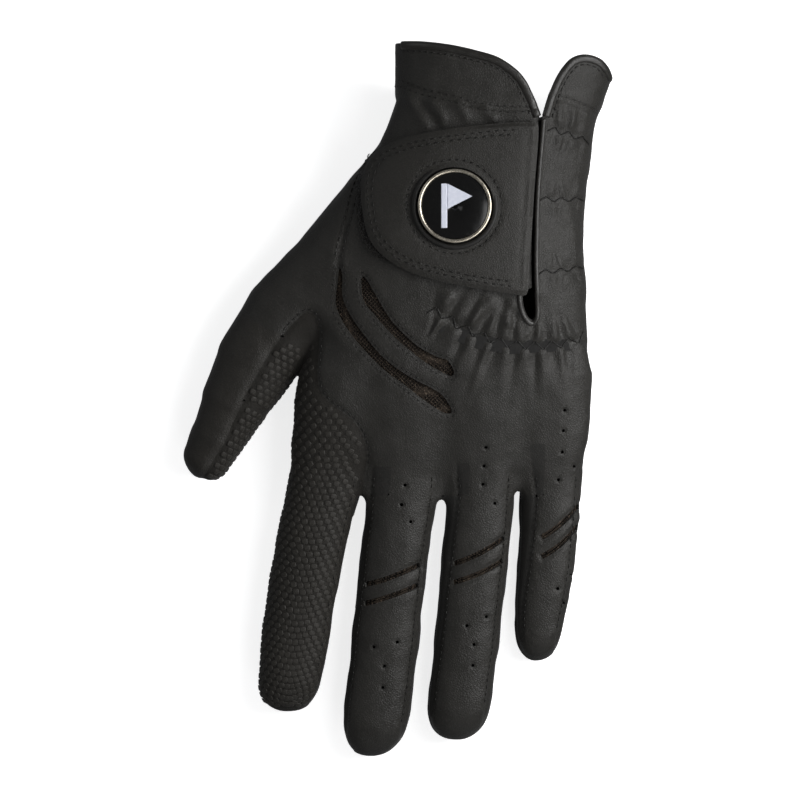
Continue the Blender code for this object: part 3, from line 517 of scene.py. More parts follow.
# (heights along the finger, how far the back's seam lies in from the finger's thumb side)
SEAM_INSET = {
    "index": ([-100.0, 0.0], [0.6, 0.6]), "middle": ([-112.0, -60.0, -22.0], [1.2, 1.3, 1.6]),
    "ring": ([-104.0, -90.0, -60.0, -30.0, -19.0], [1.2, 1.5, 2.2, 3.4, 2.6]), "little": (
        [-80.0, -70.0, -45.0, -29.0, -13.0], [1.3, 2.0, 3.8, 4.8, 2.0]
    ),
}
SPLIT_Y = -30.0  # each finger's own panels start here
SLIT_HALF = 0.55
HOLE_RADIUS = 0.52
SIDE_SEAM_Z = 7.9  # the seam along the side of a finger that has no strip
THUMB_JOINT = 19.0  # how far the thumb's joint is from the thumb's root


# The least and greatest x of each finger's middle joint, where its palm side creases
FINGER_EDGES = {"index": (-42, -16), "middle": (-14, 9), "ring": (12, 34), "little": (36, 56)}


def waves(p, seed, scale, count=5):
    """Smooth seeded noise between about -1 and 1, at a feature size."""
    gen = np.random.default_rng(seed)
    out = np.zeros(len(p))
    for _ in range(count):
        k = gen.normal(size=3)
        k *= 2 * math.pi / scale / np.linalg.norm(k) * gen.uniform(0.7, 1.4)
        out += np.sin(p @ k + gen.uniform(0, 7))
    return out / count * 1.4


def relief(p, n):
    """How far the skin stands off the plain form: gathers, folds and sewn lines, in millimetres."""
    xy = p[:, :2]
    back = smoothstep(n[:, 2], 0.05, 0.55)
    out = 0.22 * waves(p, 3, 17.0) + 0.10 * waves(p, 5, 7.0)
    for path, (_, pitch, _), amount, low, high in zip(
        ROW_PATHS, ROWS, (0.6, 0.5, 0.5, 0.75), (5.5, 4.5, 4.5, 10.5), (4.0, 4.5, 4.5, 8.0)
    ):
        near = np.abs(xy[:, 1] - path[:, 1].mean()) < 30
        d, side, run = along_path(path, xy[near])
        ends = smoothstep(run, 0.2, 2.5) * smoothstep(
            path_length(path) - run, 0.2, 2.5
        ) * 0.85 + 0.15 * (d < 1.5)
        below = side < 0
        reach = np.where(below, low, high)
        wobble = 1.1 * np.sin(run * 0.83 + 1.3) + 0.7 * np.sin(run * 0.31)
        fold = np.cos(
            2 * math.pi * (run + wobble * d / reach * 0.7) / pitch + np.where(below, 0.0, math.pi * 0.5)
        )
        rise = (1 - np.exp(-((d / 1.9) ** 2))) * np.exp(-((d / reach) ** 1.6))
        out[near] += back[near] * ends * (
            amount * fold * rise + 0.35 * amount * rise - 0.5 * amount * np.exp(-((d / 1.3) ** 2))
        )
    # long folds between the tab and the lower gathered row, and above the tab
    for line, height, width in (
        ([(30.5, 31.0), (27.0, 28.6), (23.5, 25.6), (20.0, 22.9)], 1.0, 2.0),
        ([(35.4, 29.6), (33.4, 25.6), (33.9, 21.2)], 0.8, 1.5),
        ([(17.0, 31.5), (13.0, 29.4)], 0.5, 1.8),
        ([(40.5, 22.0), (38.5, 19.0)], 0.5, 1.2),
        ([(28.5, 32.5), (34.0, 27.0), (38.0, 22.0)], -0.7, 1.6),
        ([(2.0, 94.0), (6.0, 88.0), (9.0, 82.0)], 0.8, 1.9),
        ([(9.5, 92.5), (12.5, 87.5), (14.0, 83.5)], 0.7, 1.7),
        ([(17.5, 91.5), (20.0, 87.0), (21.0, 84.5)], 0.6, 1.6),
        ([(5.0, 91.5), (9.5, 86.0), (12.0, 82.5)], -0.7, 1.5),
        ([(25.0, 89.5), (28.0, 86.5), (30.0, 85.0)], 0.5, 1.5),
        ([(48.5, 90.5), (49.0, 86.5), (48.2, 83.8)], 0.6, 1.3),
        ([(53.0, 89.6), (53.0, 86.0), (52.0, 82.6)], 0.6, 1.3),
        ([(57.6, 88.0), (57.0, 84.5), (56.0, 81.2)], 0.5, 1.3),
        ([(-33.0, 34.0), (-24.0, 33.0), (-17.0, 36.0)], -0.5, 3.0),
        ([(-26.0, 50.0), (-20.0, 46.0), (-17.0, 40.0)], 0.6, 3.2),
        ([(-24.0, 28.0), (-20.5, 22.0), (-14.0, 14.0)], 0.5, 2.6),
        ([(-43.0, 22.0), (-38.0, 12.0), (-34.0, 4.0)], -0.4, 3.0),
        ([(51.5, 58.0), (53.5, 49.0), (52.0, 42.0)], 0.5, 2.2),
        ([(44.0, 12.0), (49.0, 2.0), (52.0, -6.0)], 0.35, 3.0),
        ([(22.0, 14.0), (24.0, 4.0), (25.5, -8.0)], 0.3, 3.5),
    ):
        path = curve_through(line, 0.8)
        d, _, run = along_path(path, xy)
        length = path_length(path)
        out += back * height * np.exp(-((d / width) ** 2)) * np.clip(
            1.2 - np.abs(2 * run / length - 1) ** 3, 0.2, 1
        )
    # sewn lines pull the skin in
    out -= seam_grooves(xy, smoothstep(n[:, 2], 0.1, 0.35))
    for path, depth, width in ((CUFF_SEAM, 0.45, 0.9), (FLAP_SEAM, 0.45, 0.9)):
        d, _, _ = along_path(path, xy)
        out -= back * depth * np.exp(-((d / width) ** 2))
    # the flap stands a little proud along the slit
    d, side, _ = along_path(SLIT, xy)
    out += back * np.where((side > 0) & (xy[:, 1] > 20), 0.9 * np.exp(-d / 5.0), 0.0)
    # creases inside the middle joints, on the palm side and across the slots
    for name, y in (("index", -53), ("middle", -57.5), ("ring", -50.5), ("little", -42)):
        left, right = FINGER_EDGES[name]
        on = (xy[:, 0] > left - 2) & (xy[:, 0] < right + 2) & (n[:, 2] < -0.2)
        out[on] -= 0.5 * np.exp(-(((xy[on, 1] - y) / 1.6) ** 2)) + 0.4 * np.exp(
            -(((xy[on, 1] - y - 6) / 1.4) ** 2)
        )
    return out


def seam_grooves(xy, up):
    """How deep the stitched lines along the fingers lie."""
    out = np.zeros(len(xy))
    for name, f in FINGERS.items():
        left, right = table_at(f["rows"], xy[:, 1])
        inset = np.interp(xy[:, 1], *SEAM_INSET[name])
        on = up * smoothstep(-xy[:, 1], 18.0, 25.0) * smoothstep(xy[:, 1], f["tip"] + 3.0, f["tip"] + 8.0)
        if name != "index":
            out += on * 0.4 * np.exp(-(((xy[:, 0] - left - inset) / 0.6) ** 2))
        out += on * 0.4 * np.exp(-(((right - 1.4 - xy[:, 0]) / 0.6) ** 2))
    return out


# ---- meshes


def refine(points, tris, near):
    """Splits the triangles that touch marked points, keeping the mesh closed."""
    marked = near[tris].any(1)
    edges = np.sort(edges_of(tris), axis=1)
    unique, index = np.unique(edges, axis=0, return_inverse=True)
    index = index.reshape(3, -1).T
    split = np.zeros(len(unique), bool)
    split[index[marked].ravel()] = True
    number = np.full(len(unique), -1)
    number[split] = len(points) + np.arange(split.sum())
    added = settle(points[unique[split]].mean(1), 3)
    m = number[index]
    has = m >= 0
    count = has.sum(1)
    out = [tris[count == 0]]
    for k in range(3):
        a, b, c = tris[:, k], tris[:, (k + 1) % 3], tris[:, (k + 2) % 3]
        ab, bc, ca = m[:, k], m[:, (k + 1) % 3], m[:, (k + 2) % 3]
        one = (count == 1) & (ab >= 0)
        out += [np.stack([a, ab, c], 1)[one], np.stack([ab, b, c], 1)[one]]
        two = (count == 2) & (ca < 0)
        out += [np.stack([b, bc, ab], 1)[two], np.stack([a, ab, bc], 1)[two], np.stack([a, bc, c], 1)[two]]
    three = count == 3
    a, b, c = tris[three].T
    ab, bc, ca = m[three].T
    out += [np.stack(t, 1) for t in ((a, ab, ca), (ab, b, bc), (ca, bc, c), (ab, bc, ca))]
    return np.vstack([points, added]), np.vstack(out)


def clip(points, tris, f, *carried):
    """The part of a mesh where f is negative, cut cleanly at zero. Carried arrays are interpolated."""
    inside = f < 0
    count = inside[tris].sum(1)
    keep = [tris[count == 3]]
    edges, where = [], []
    for k in range(3):
        a, b, c = tris[:, k], tris[:, (k + 1) % 3], tris[:, (k + 2) % 3]
        one = (count == 1) & inside[a]
        two = (count == 2) & ~inside[a]
        where.append((1, a[one], b[one], c[one]))
        where.append((2, a[two], b[two], c[two]))
        edges += [
            np.stack([a[one], b[one]], 1), np.stack([a[one], c[one]], 1), np.stack([b[two], a[two]], 1),
            np.stack([c[two], a[two]], 1)
        ]
    pairs = np.vstack(edges)
    unique, index = np.unique(np.sort(pairs, 1), axis=0, return_inverse=True)
    index = index.reshape(-1) + len(points)
    fa, fb = f[unique[:, 0]], f[unique[:, 1]]
    t = np.clip(fa / np.where(np.abs(fa - fb) < 1e-12, 1.0, fa - fb), 0.02, 0.98)[:, None]
    arrays = [np.vstack([x, x[unique[:, 0]] * (1 - t) + x[unique[:, 1]] * t]) for x in (points, *carried)]
    at = 0
    for kind, a, b, c in where:
        n = len(a)
        first, second = index[at : at + n], index[at + n : at + 2 * n]
        at += 2 * n
        if kind == 1:
            keep.append(np.stack([a, first, second], 1))
        else:
            keep += [np.stack([b, c, first], 1), np.stack([c, second, first], 1)]
    tris = np.vstack(keep)
    used = np.unique(tris)
    remap = np.full(len(arrays[0]), -1)
    remap[used] = np.arange(len(used))
    return [remap[tris]] + [x[used] for x in arrays]


def vertex_normals(points, tris):
    n = np.zeros_like(points)
    face = np.cross(points[tris[:, 1]] - points[tris[:, 0]], points[tris[:, 2]] - points[tris[:, 0]])
    for k in range(3):
        np.add.at(n, tris[:, k], face)
    return unit(n)


def biggest(points, tris, least=30):
    """Leaves out stray islands of a few faces, by spreading the lowest label across each island."""
    label = np.arange(len(points))
    while True:
        low = label[tris].min(1)
        new = label.copy()
        for k in range(3):
            np.minimum.at(new, tris[:, k], low)
        new = new[new]
        if (new == label).all():
            break
        label = new
    owner = label[tris[:, 0]]
    names, counts = np.unique(owner, return_counts=True)
    return tris[np.isin(owner, names[counts >= least])]


def make_object(name, points, faces, normals=None, rest=None, smooth=True):
    mesh = bpy.data.meshes.new(name)
    pts = np.asarray(points, np.float32) * MM
    mesh.vertices.add(len(pts))
    mesh.vertices.foreach_set("co", pts.ravel())
    if isinstance(faces, np.ndarray):
        loops, sizes = faces.ravel(), np.full(len(faces), faces.shape[1])
    else:
        loops, sizes = np.concatenate([np.ravel(f) for f in faces]), np.concatenate(
            [np.full(len(f), f.shape[1]) for f in faces]
        )
    mesh.loops.add(len(loops))
    mesh.loops.foreach_set("vertex_index", loops.astype(np.int32))
    mesh.polygons.add(len(sizes))
    mesh.polygons.foreach_set("loop_start", np.concatenate([[0], np.cumsum(sizes)[:-1]]).astype(np.int32))
    mesh.update(calc_edges=True)
    mesh.validate()
    mesh.polygons.foreach_set("use_smooth", np.full(len(mesh.polygons), smooth))
    attribute = mesh.attributes.new("rest", "FLOAT_VECTOR", "POINT")
    attribute.data.foreach_set("vector", (np.asarray(points if rest is None else rest, np.float32)).ravel())
    if normals is not None and len(mesh.vertices) == len(normals):
        mesh.normals_split_custom_set_from_vertices(np.asarray(normals, np.float32))
    obj = bpy.data.objects.new(name, mesh)
    bpy.context.scene.collection.objects.link(obj)
    return obj


def edges_of(tris):
    return np.vstack([tris[:, [0, 1]], tris[:, [1, 2]], tris[:, [2, 0]]])


def on_rim(edges):
    """Marks the edges that only one triangle has."""
    _, index, count = np.unique(np.sort(edges, 1), axis=0, return_inverse=True, return_counts=True)
    return count[index.reshape(-1)] == 1


def thicken(points, tris, normals, thickness):
    """A closed skin: the outer face given, an inner face beneath it, and a rim round every edge."""
    n = len(points)
    inner = points - normals * thickness
    edges = edges_of(tris)
    rim = edges[on_rim(edges)]
    # the rim has points of its own, so that its shading doesn't soften the skin's
    ids = np.unique(rim)
    remap = np.full(n, -1)
    remap[ids] = np.arange(len(ids))
    tangent = np.zeros((n, 3))
    for a, b in ((0, 1), (1, 0)):
        np.add.at(tangent, rim[:, a], (points[rim[:, 1]] - points[rim[:, 0]]))
    out = unit(np.cross(tangent, normals))
    all_points = np.vstack([points, inner, points[ids], inner[ids]])
    quads = np.stack([rim[:, 1], rim[:, 0], rim[:, 0], rim[:, 1]], 1)
    quads = np.stack(
        [
            remap[quads[:, 0]] + 2 * n, remap[quads[:, 1]] + 2 * n, remap[quads[:, 2]] + 2 * n + len(ids),
            remap[quads[:, 3]] + 2 * n + len(ids)
        ],
        1
    )
    all_normals = np.vstack([normals, -normals, out[ids], out[ids]])
    return all_points, [np.vstack([tris, tris[:, ::-1] + n]), quads], all_normals


def tube_axes(path, normals):
    """(points, directions, sideways, upwards) along a path that lies on a surface."""
    p, n = np.asarray(path, float), np.asarray(normals, float)
    t = unit(np.gradient(p, axis=0))
    side = unit(np.cross(t, n))
    return p, t, side, np.cross(side, t)


def ring_quads(rings, count, closed=False):
    """The faces between rings of points, each of count points."""
    i, j = np.arange(rings if closed else rings - 1)[:, None], np.arange(count)[None, :]
    following, beside = (i + 1) % rings * count, (j + 1) % count
    return np.stack([i * count + j, following + j, following + beside, i * count + beside], -1).reshape(-1, 4)


def end_fans(rings, count):
    """The faces that close both ends of a tube, round the two points that follow its rings."""
    j = np.arange(count)
    first, last = np.full(count, rings * count), (rings - 1) * count
    return np.vstack(
        [np.stack([first, j, (j + 1) % count], 1), np.stack([first + 1, last + (j + 1) % count, last + j], 1)]
    )


def sweep(name, path, normals, half_width, half_height, count):
    """A tube with an oval section along a path, standing on a surface with those normals."""
    p, _, side, up = tube_axes(path, normals)
    angles = np.arange(count) * 2 * math.pi / count
    half_width = np.broadcast_to(half_width, len(p))[:, None, None]
    half_height = np.broadcast_to(half_height, len(p))[:, None, None]
    c, s = np.cos(angles)[None, :, None], np.sin(angles)[None, :, None]
    rings = p[:, None, :] + side[:, None, :] * c * half_width + up[:, None, :] * s * half_height
    pts = rings.reshape(-1, 3)
    pts = np.vstack([pts, p[:1], p[-1:]])
    return make_object(name, pts, [ring_quads(len(p), count), end_fans(len(p), count)])


class Threads:
    """Many short threads gathered into one mesh."""

    def __init__(self):
        self.points, self.quads, self.tris, self.count = [], [], [], 0

    def add(self, path, normals, radius, sides=6):
        p, t, side, up = tube_axes(path, normals)
        shrink = np.ones(len(p))
        shrink[0] = shrink[-1] = 0.55
        ang = np.arange(sides) * 2 * math.pi / sides
        out = side[:, None] * np.cos(ang)[None, :, None] + up[:, None] * np.sin(ang)[None, :, None]
        ring = p[:, None] + out * (radius * shrink)[:, None, None]
        pts = np.vstack([ring.reshape(-1, 3), p[:1] - t[:1] * radius * 0.5, p[-1:] + t[-1:] * radius * 0.5])
        self.quads.append(ring_quads(len(p), sides) + self.count)
        self.tris.append(end_fans(len(p), sides) + self.count)
        self.points.append(pts)
        self.count += len(pts)

    def line(self, path, normals, length, gap, radius, sink=0.12, lift=0.1, sides=6):
        """Running stitches along a surface line: each rises in the middle and dips at its ends."""
        p, n = np.asarray(path, float), np.asarray(normals, float)
        run = run_along(p)
        at = 0.4  # the first stitch starts this far in
        while at + length < run[-1]:
            s = np.linspace(at, at + length, 5)
            q = np.stack([np.interp(s, run, p[:, k]) for k in range(3)], 1)
            m = np.stack([np.interp(s, run, n[:, k]) for k in range(3)], 1)
            rise = np.array([-sink, lift * 0.8, lift, lift * 0.8, -sink])
            self.add(q + m * rise[:, None], m, radius, sides)
            at += length + gap

    def build(self, name):
        return make_object(name, np.vstack(self.points), [np.vstack(self.quads), np.vstack(self.tris)])


def lathe(name, profile, centre, count):
    """A round piece from a closed profile of (radius, height) about an upright axis."""
    prof = np.asarray(profile, float)
    angles = np.arange(count) * 2 * math.pi / count
    flat = [prof[None, :, 0] * np.cos(angles)[:, None], prof[None, :, 0] * np.sin(angles)[:, None]]
    pts = np.stack([*flat, np.broadcast_to(prof[None, :, 1], (count, len(prof)))], -1).reshape(-1, 3)
    return make_object(name, pts + np.asarray(centre), ring_quads(count, len(prof), closed=True))


# ---- materials


class Nodes:
    """A new material, with short ways to add nodes to it."""

    def __init__(self, name):
        self.material = bpy.data.materials.new(name)
        self.material.use_nodes = True
        self.tree = self.material.node_tree
        self.shader = self.tree.nodes["Principled BSDF"]
        at = self.tree.nodes.new("ShaderNodeAttribute")
        at.attribute_name = "rest"
        self.rest = at.outputs["Vector"]

    def finish(self, **values):
        """Sets or links the shader's inputs, named with _ for a space, and gives the material."""
        for key, value in values.items():
            socket = self.shader.inputs[key.replace("_", " ")]
            if isinstance(value, (int, float)):
                socket.default_value = value
            else:
                self.link(value, socket)
        return self.material

    def link(self, a, b):
        self.tree.links.new(a, b)

    def stretch(self, scale, rotate=0.0, vector=None):
        node = self.tree.nodes.new("ShaderNodeMapping")
        node.inputs["Scale"].default_value = scale
        node.inputs["Rotation"].default_value = (0, 0, rotate)
        self.link(vector or self.rest, node.inputs["Vector"])
        return node.outputs["Vector"]

    def noise(self, scale, detail=2.0, vector=None, roughness=0.5, distortion=0.0):
        node = self.tree.nodes.new("ShaderNodeTexNoise")
        node.inputs["Scale"].default_value = scale
        node.inputs["Detail"].default_value = detail
        node.inputs["Roughness"].default_value = roughness
        node.inputs["Distortion"].default_value = distortion
        self.link(vector or self.rest, node.inputs["Vector"])
        return node.outputs["Fac"]

    def voronoi(self, scale, feature="DISTANCE_TO_EDGE", vector=None, randomness=1.0):
        node = self.tree.nodes.new("ShaderNodeTexVoronoi")
        node.feature = feature
        node.inputs["Scale"].default_value = scale
        node.inputs["Randomness"].default_value = randomness
        self.link(vector or self.rest, node.inputs["Vector"])
        return node.outputs["Distance"]

    def math(self, kind, a, b=None, clamp=False):
        node = self.tree.nodes.new("ShaderNodeMath")
        node.operation = kind
        node.use_clamp = clamp
        for k, v in enumerate((a, b)):
            if v is None:
                continue
            if isinstance(v, (int, float)):
                node.inputs[k].default_value = v
            else:
                self.link(v, node.inputs[k])
        return node.outputs[0]

    def remap(self, value, low, high, to_low=0.0, to_high=1.0):
        node = self.tree.nodes.new("ShaderNodeMapRange")
        node.inputs["From Min"].default_value, node.inputs["From Max"].default_value = low, high
        node.inputs["To Min"].default_value, node.inputs["To Max"].default_value = to_low, to_high
        self.link(value, node.inputs["Value"])
        return node.outputs["Result"]

    def mix(self, factor, a, b):
        node = self.tree.nodes.new("ShaderNodeMix")
        node.data_type = "RGBA"
        self.link(factor, node.inputs["Factor"])
        for socket, v in ((node.inputs[6], a), (node.inputs[7], b)):
            if isinstance(v, tuple):
                socket.default_value = (*v, 1.0)
            else:
                self.link(v, socket)
        return node.outputs[2]

    def bump(self, height, strength, distance, before=None):
        node = self.tree.nodes.new("ShaderNodeBump")
        node.inputs["Strength"].default_value = strength
        node.inputs["Distance"].default_value = distance
        self.link(height, node.inputs["Height"])
        if before is not None:
            self.link(before, node.inputs["Normal"])
        return node.outputs["Normal"]


def leather(name, dark, light, rough=(0.5, 0.62), grain=1.55, depth=0.5, specular=0.32, sheen=0.08):
    """Fine-grained synthetic leather: pebbles, broad tone changes, and a slight polish on the high spots."""
    k = Nodes(name)
    pebbles = k.voronoi(grain, vector=k.stretch((1, 1, 1), 0.3))
    pebble = k.remap(pebbles, 0.0, 0.28)
    fine = k.noise(3.6, 3.0)
    broad = k.noise(0.09, 3.0)
    tone = k.math("ADD", k.math("MULTIPLY", broad, 0.7), k.math("MULTIPLY", pebble, 0.22), clamp=True)
    polish = k.math("ADD", k.math("MULTIPLY", fine, 0.5), k.math("MULTIPLY", broad, 0.5))
    height = k.math("ADD", k.math("MULTIPLY", pebble, 0.75), k.math("MULTIPLY", fine, 0.35))
    first = k.bump(height, depth, 0.00012)
    return k.finish(
        Base_Color=k.mix(k.remap(tone, 0.25, 0.75), dark, light), Roughness=k.remap(polish, 0.3, 0.7, *rough),
        Normal=k.bump(k.noise(0.35, 2.0), 0.25, 0.0006, first), Specular_IOR_Level=specular,
        Sheen_Weight=sheen, Sheen_Roughness=0.45,
    )


def net(name, thread, painted_hole_shade, pitch=1.1):
    """Stretch mesh: a knitted net of small diamonds with light specks where it shows the yarn; its holes are
    painted near-black, as painted shade of the glove's inside seen through them.
    """
    k = Nodes(name)
    cells = k.voronoi(pitch, vector=k.stretch((1.0, 1.0, 0.6), 0.785), randomness=0.25)
    web = k.remap(cells, 0.02, 0.26, 1.0, 0.0)
    specks = k.remap(k.noise(1.9, 2.0), 0.56, 0.66)
    yarn = k.mix(specks, thread, tuple(min(1.0, c * 3.2) for c in thread))
    return k.finish(
        # the holes take the second colour: painted shade of the dark inside of the glove seen through the net
        Base_Color=k.mix(web, painted_hole_shade, yarn), Normal=k.bump(web, 0.8, 0.0003),
        Roughness=0.8, Specular_IOR_Level=0.15,
    )


def pile(name, dark, light, scale=2.6):
    """Fuzzy loop pile."""
    k = Nodes(name)
    fuzz = k.noise(scale, 4.0, roughness=0.75)
    tufts = k.voronoi(scale * 0.6, "F1")
    tone = k.math("MULTIPLY", fuzz, k.remap(tufts, 0.0, 0.7, 1.15, 0.35))
    return k.finish(
        Base_Color=k.mix(k.remap(tone, 0.25, 0.6), dark, light),
        Normal=k.bump(k.math("SUBTRACT", fuzz, tufts), 1.0, 0.0005),
        Roughness=0.95, Specular_IOR_Level=0.1, Sheen_Weight=0.3,
    )


def woven(name, dark, light, pitch=1.6):
    """A narrow woven band: ribs one way, finer threads the other."""
    k = Nodes(name)
    ribs = k.tree.nodes.new("ShaderNodeTexWave")
    ribs.inputs["Scale"].default_value = pitch
    ribs.inputs["Distortion"].default_value = 0.8
    k.link(k.rest, ribs.inputs["Vector"])
    threads = k.noise(5.0, 2.0, vector=k.stretch((0.4, 2.4, 1.0)))
    tone = k.math(
        "ADD", k.math("MULTIPLY", ribs.outputs["Fac"], 0.6), k.math("MULTIPLY", threads, 0.5), clamp=True
    )
    return k.finish(
        Base_Color=k.mix(tone, dark, light), Normal=k.bump(tone, 0.6, 0.0002),
        Roughness=0.85, Specular_IOR_Level=0.2,
    )


def thread_material(name, dark, light, rough=0.5):
    """Twisted sewing thread."""
    k = Nodes(name)
    twist = k.noise(7.0, 2.0, vector=k.stretch((1.0, 1.0, 1.0), 0.6), distortion=0.6)
    return k.finish(
        Base_Color=k.mix(k.remap(twist, 0.35, 0.65), dark, light), Normal=k.bump(twist, 0.5, 0.00008),
        Roughness=rough, Specular_IOR_Level=0.35,
    )


def metal(name, dark, light, rough=(0.2, 0.34)):
    """Plated metal with fine turned lines."""
    k = Nodes(name)
    cloud = k.noise(0.5, 3.0)
    lines = k.noise(9.0, 2.0, vector=k.stretch((0.5, 0.5, 6.0)))
    return k.finish(
        Base_Color=k.mix(k.remap(cloud, 0.3, 0.7), dark, light), Roughness=k.remap(lines, 0.3, 0.7, *rough),
        Normal=k.bump(lines, 0.15, 0.00003), Metallic=1.0,
    )


def enamel(name, dark, light, rough=(0.12, 0.2), coat=0.6):
    """Smooth filled enamel with faint unevenness."""
    k = Nodes(name)
    cloud = k.noise(0.8, 3.0)
    return k.finish(
        Base_Color=k.mix(cloud, dark, light), Roughness=k.remap(cloud, 0.3, 0.7, *rough),
        Normal=k.bump(cloud, 0.1, 0.00006), Specular_IOR_Level=0.3, Coat_Weight=coat, Coat_Roughness=0.06,
    )


M = {
    "leather": leather(
        "glove_leather", (0.0150, 0.0140, 0.0120), (0.0230, 0.0215, 0.0188), rough=(0.42, 0.55), grain=1.35,
        depth=0.7
    ),
    "leather_thumb": leather(
        "thumb_leather", (0.0155, 0.0138, 0.0112), (0.0225, 0.0203, 0.0170), rough=(0.45, 0.58), grain=1.35,
        depth=0.7
    ),
    "leather_tab": leather(
        "tab_leather", (0.0145, 0.0134, 0.0114), (0.0215, 0.0200, 0.0172), rough=(0.44, 0.56), grain=1.45,
        depth=0.6
    ),
    "fourchette": leather(
        "fourchette_leather", (0.0105, 0.0098, 0.0086), (0.0160, 0.0150, 0.0132), rough=(0.58, 0.7)
    ),
    "grip": leather(
        "grip_leather", (0.0105, 0.0092, 0.0072), (0.0170, 0.0150, 0.0120), rough=(0.6, 0.72), grain=2.2,
        depth=0.6, specular=0.25
    ),
    "tile": leather(
        "grip_tiles", (0.0175, 0.0155, 0.0125), (0.0250, 0.0225, 0.0185), rough=(0.5, 0.6), grain=2.6,
        depth=0.35, specular=0.32
    ),
    "binding": leather(
        "binding_leather", (0.0120, 0.0108, 0.0090), (0.0190, 0.0172, 0.0148), rough=(0.28, 0.4), grain=2.0,
        depth=0.3, specular=0.5
    ),
    # the second colour is painted shade in the net's holes
    "mesh": net("stretch_mesh", (0.030, 0.023, 0.017), (0.0040, 0.0030, 0.0022)),
    "pile": pile("loop_pile", (0.0045, 0.0038, 0.0028), (0.0190, 0.0160, 0.0120)),
    "hook": pile("hook_pile", (0.006, 0.006, 0.006), (0.022, 0.021, 0.020), scale=3.4),
    "band": woven("inner_band", (0.010, 0.010, 0.010), (0.028, 0.027, 0.026)),
    "label": woven("blank_label", (0.42, 0.42, 0.41), (0.60, 0.60, 0.58), 2.4),
    "thread": thread_material("sewing_thread", (0.0040, 0.0036, 0.0030), (0.0120, 0.0110, 0.0094), 0.4),
    "rubber": enamel(
        "seat_rubber", (0.0060, 0.0058, 0.0052), (0.0110, 0.0105, 0.0095), rough=(0.42, 0.55), coat=0.0
    ),
    "bezel": metal("champagne_plate", (0.50, 0.45, 0.36), (0.72, 0.66, 0.55)),
    "magnet": metal("nickel_plate", (0.42, 0.42, 0.42), (0.58, 0.58, 0.57), rough=(0.25, 0.4)),
    "disc": enamel("black_enamel", (0.0020, 0.0020, 0.0020), (0.0042, 0.0040, 0.0038), coat=0.15),
    "emblem": enamel("white_enamel", (0.62, 0.65, 0.76), (0.74, 0.76, 0.84), rough=(0.2, 0.3)),
}


def dress(obj, material):
    obj.data.materials.clear()
    obj.data.materials.append(M[material])
    return obj


# ---- the wrinkled skin

BASE, QUADS = surface_mesh(0.9)
BASE = settle(BASE)
TRIS = np.vstack([QUADS[:, [0, 1, 2]], QUADS[:, [0, 2, 3]]])

THUMB_DIR = np.array([-21.1, -42.2]) / math.hypot(21.1, 42.2)
THUMB_ROOT = np.array([-41.5, 17.5])


def thumb_along(xy):
    return (xy - THUMB_ROOT) @ THUMB_DIR


def slot_outline(points, width=0.85):
    path = curve_through(points, 0.4)
    return np.vstack([offset_path(path, width), offset_path(path, -width)[::-1]])


SLOT_OUTLINES = {name: [slot_outline(p) for p in lines] for name, lines in FINGER_SLOTS.items()}
ALL_SLOTS = [outline for outlines in SLOT_OUTLINES.values() for outline in outlines]
HOLES = np.array([p for places in PUNCHED.values() for p in places])
BACK_Z = 8.0  # above this, a finger's skin is on its back
FAR = 9.0  # stands for well away from an edge


def in_box(outline, xy, reach):
    """Marks the places in the box round an outline, and within reach of it."""
    return ((xy > outline.min(0) - reach) & (xy < outline.max(0) + reach)).all(1)


def near_holes(p, reach):
    up = p[:, 2] > BACK_Z
    out = up & (np.hypot(p[:, None, 0] - HOLES[:, 0], p[:, None, 1] - HOLES[:, 1]) < reach).any(1)
    for outline in ALL_SLOTS:
        i = np.flatnonzero(up & in_box(outline, p[:, :2], reach))
        out[i] |= np.abs(inside_field(outline, p[i, :2])) < reach
    return out


def near_rows(p, reach):
    out = np.zeros(len(p), bool)
    for path in (*ROW_PATHS, CUFF_SEAM, FLAP_SEAM):
        i = np.flatnonzero((p[:, 2] > BACK_Z) & in_box(path, p[:, :2], reach))
        out[i] |= along_path(path, p[i, :2])[0] < reach
    return out


BASE, TRIS = refine(BASE, TRIS, near_rows(BASE, 6.0) | near_holes(BASE, 1.8))
BASE, TRIS = refine(BASE, TRIS, near_holes(BASE, 1.1))
FLAT_N = unit(gradient(BASE))

# ---- where each panel ends

X, Y, Z = BASE.T
XY = BASE[:, :2]
T_ALONG = thumb_along(XY)
THUMB_SIDE = smoothstep(-X, 13.0, 17.0)
Z_SEAM = 12.0 + (7.8 - 12.0) * smoothstep(-Y, 14.0, 26.0)
Z_SEAM = Z_SEAM + (6.6 - Z_SEAM) * THUMB_SIDE * smoothstep(T_ALONG, -25.0, -4.0) * (Y > -26)
EDGES = {name: table_at(FINGERS[name]["rows"], Y) for name in FINGERS}
BETWEEN = {
    "index_middle": (EDGES["index"][1] + EDGES["middle"][0]) / 2,
    "middle_ring": (EDGES["middle"][1] + EDGES["ring"][0]) / 2,
    "ring_little": (EDGES["ring"][1] + EDGES["little"][0]) / 2,
}
# the fourchettes' strip: between a low and a high seam on the inner sides of the fingers
HIGH = 10.6 + (9.4 - 10.6) * smoothstep(-Y, 20.0, 90.0)
LOW = np.full(len(Y), 4.6)


def both(*fields):
    return np.maximum.reduce(fields)


def either(*fields):
    return np.minimum.reduce(fields)


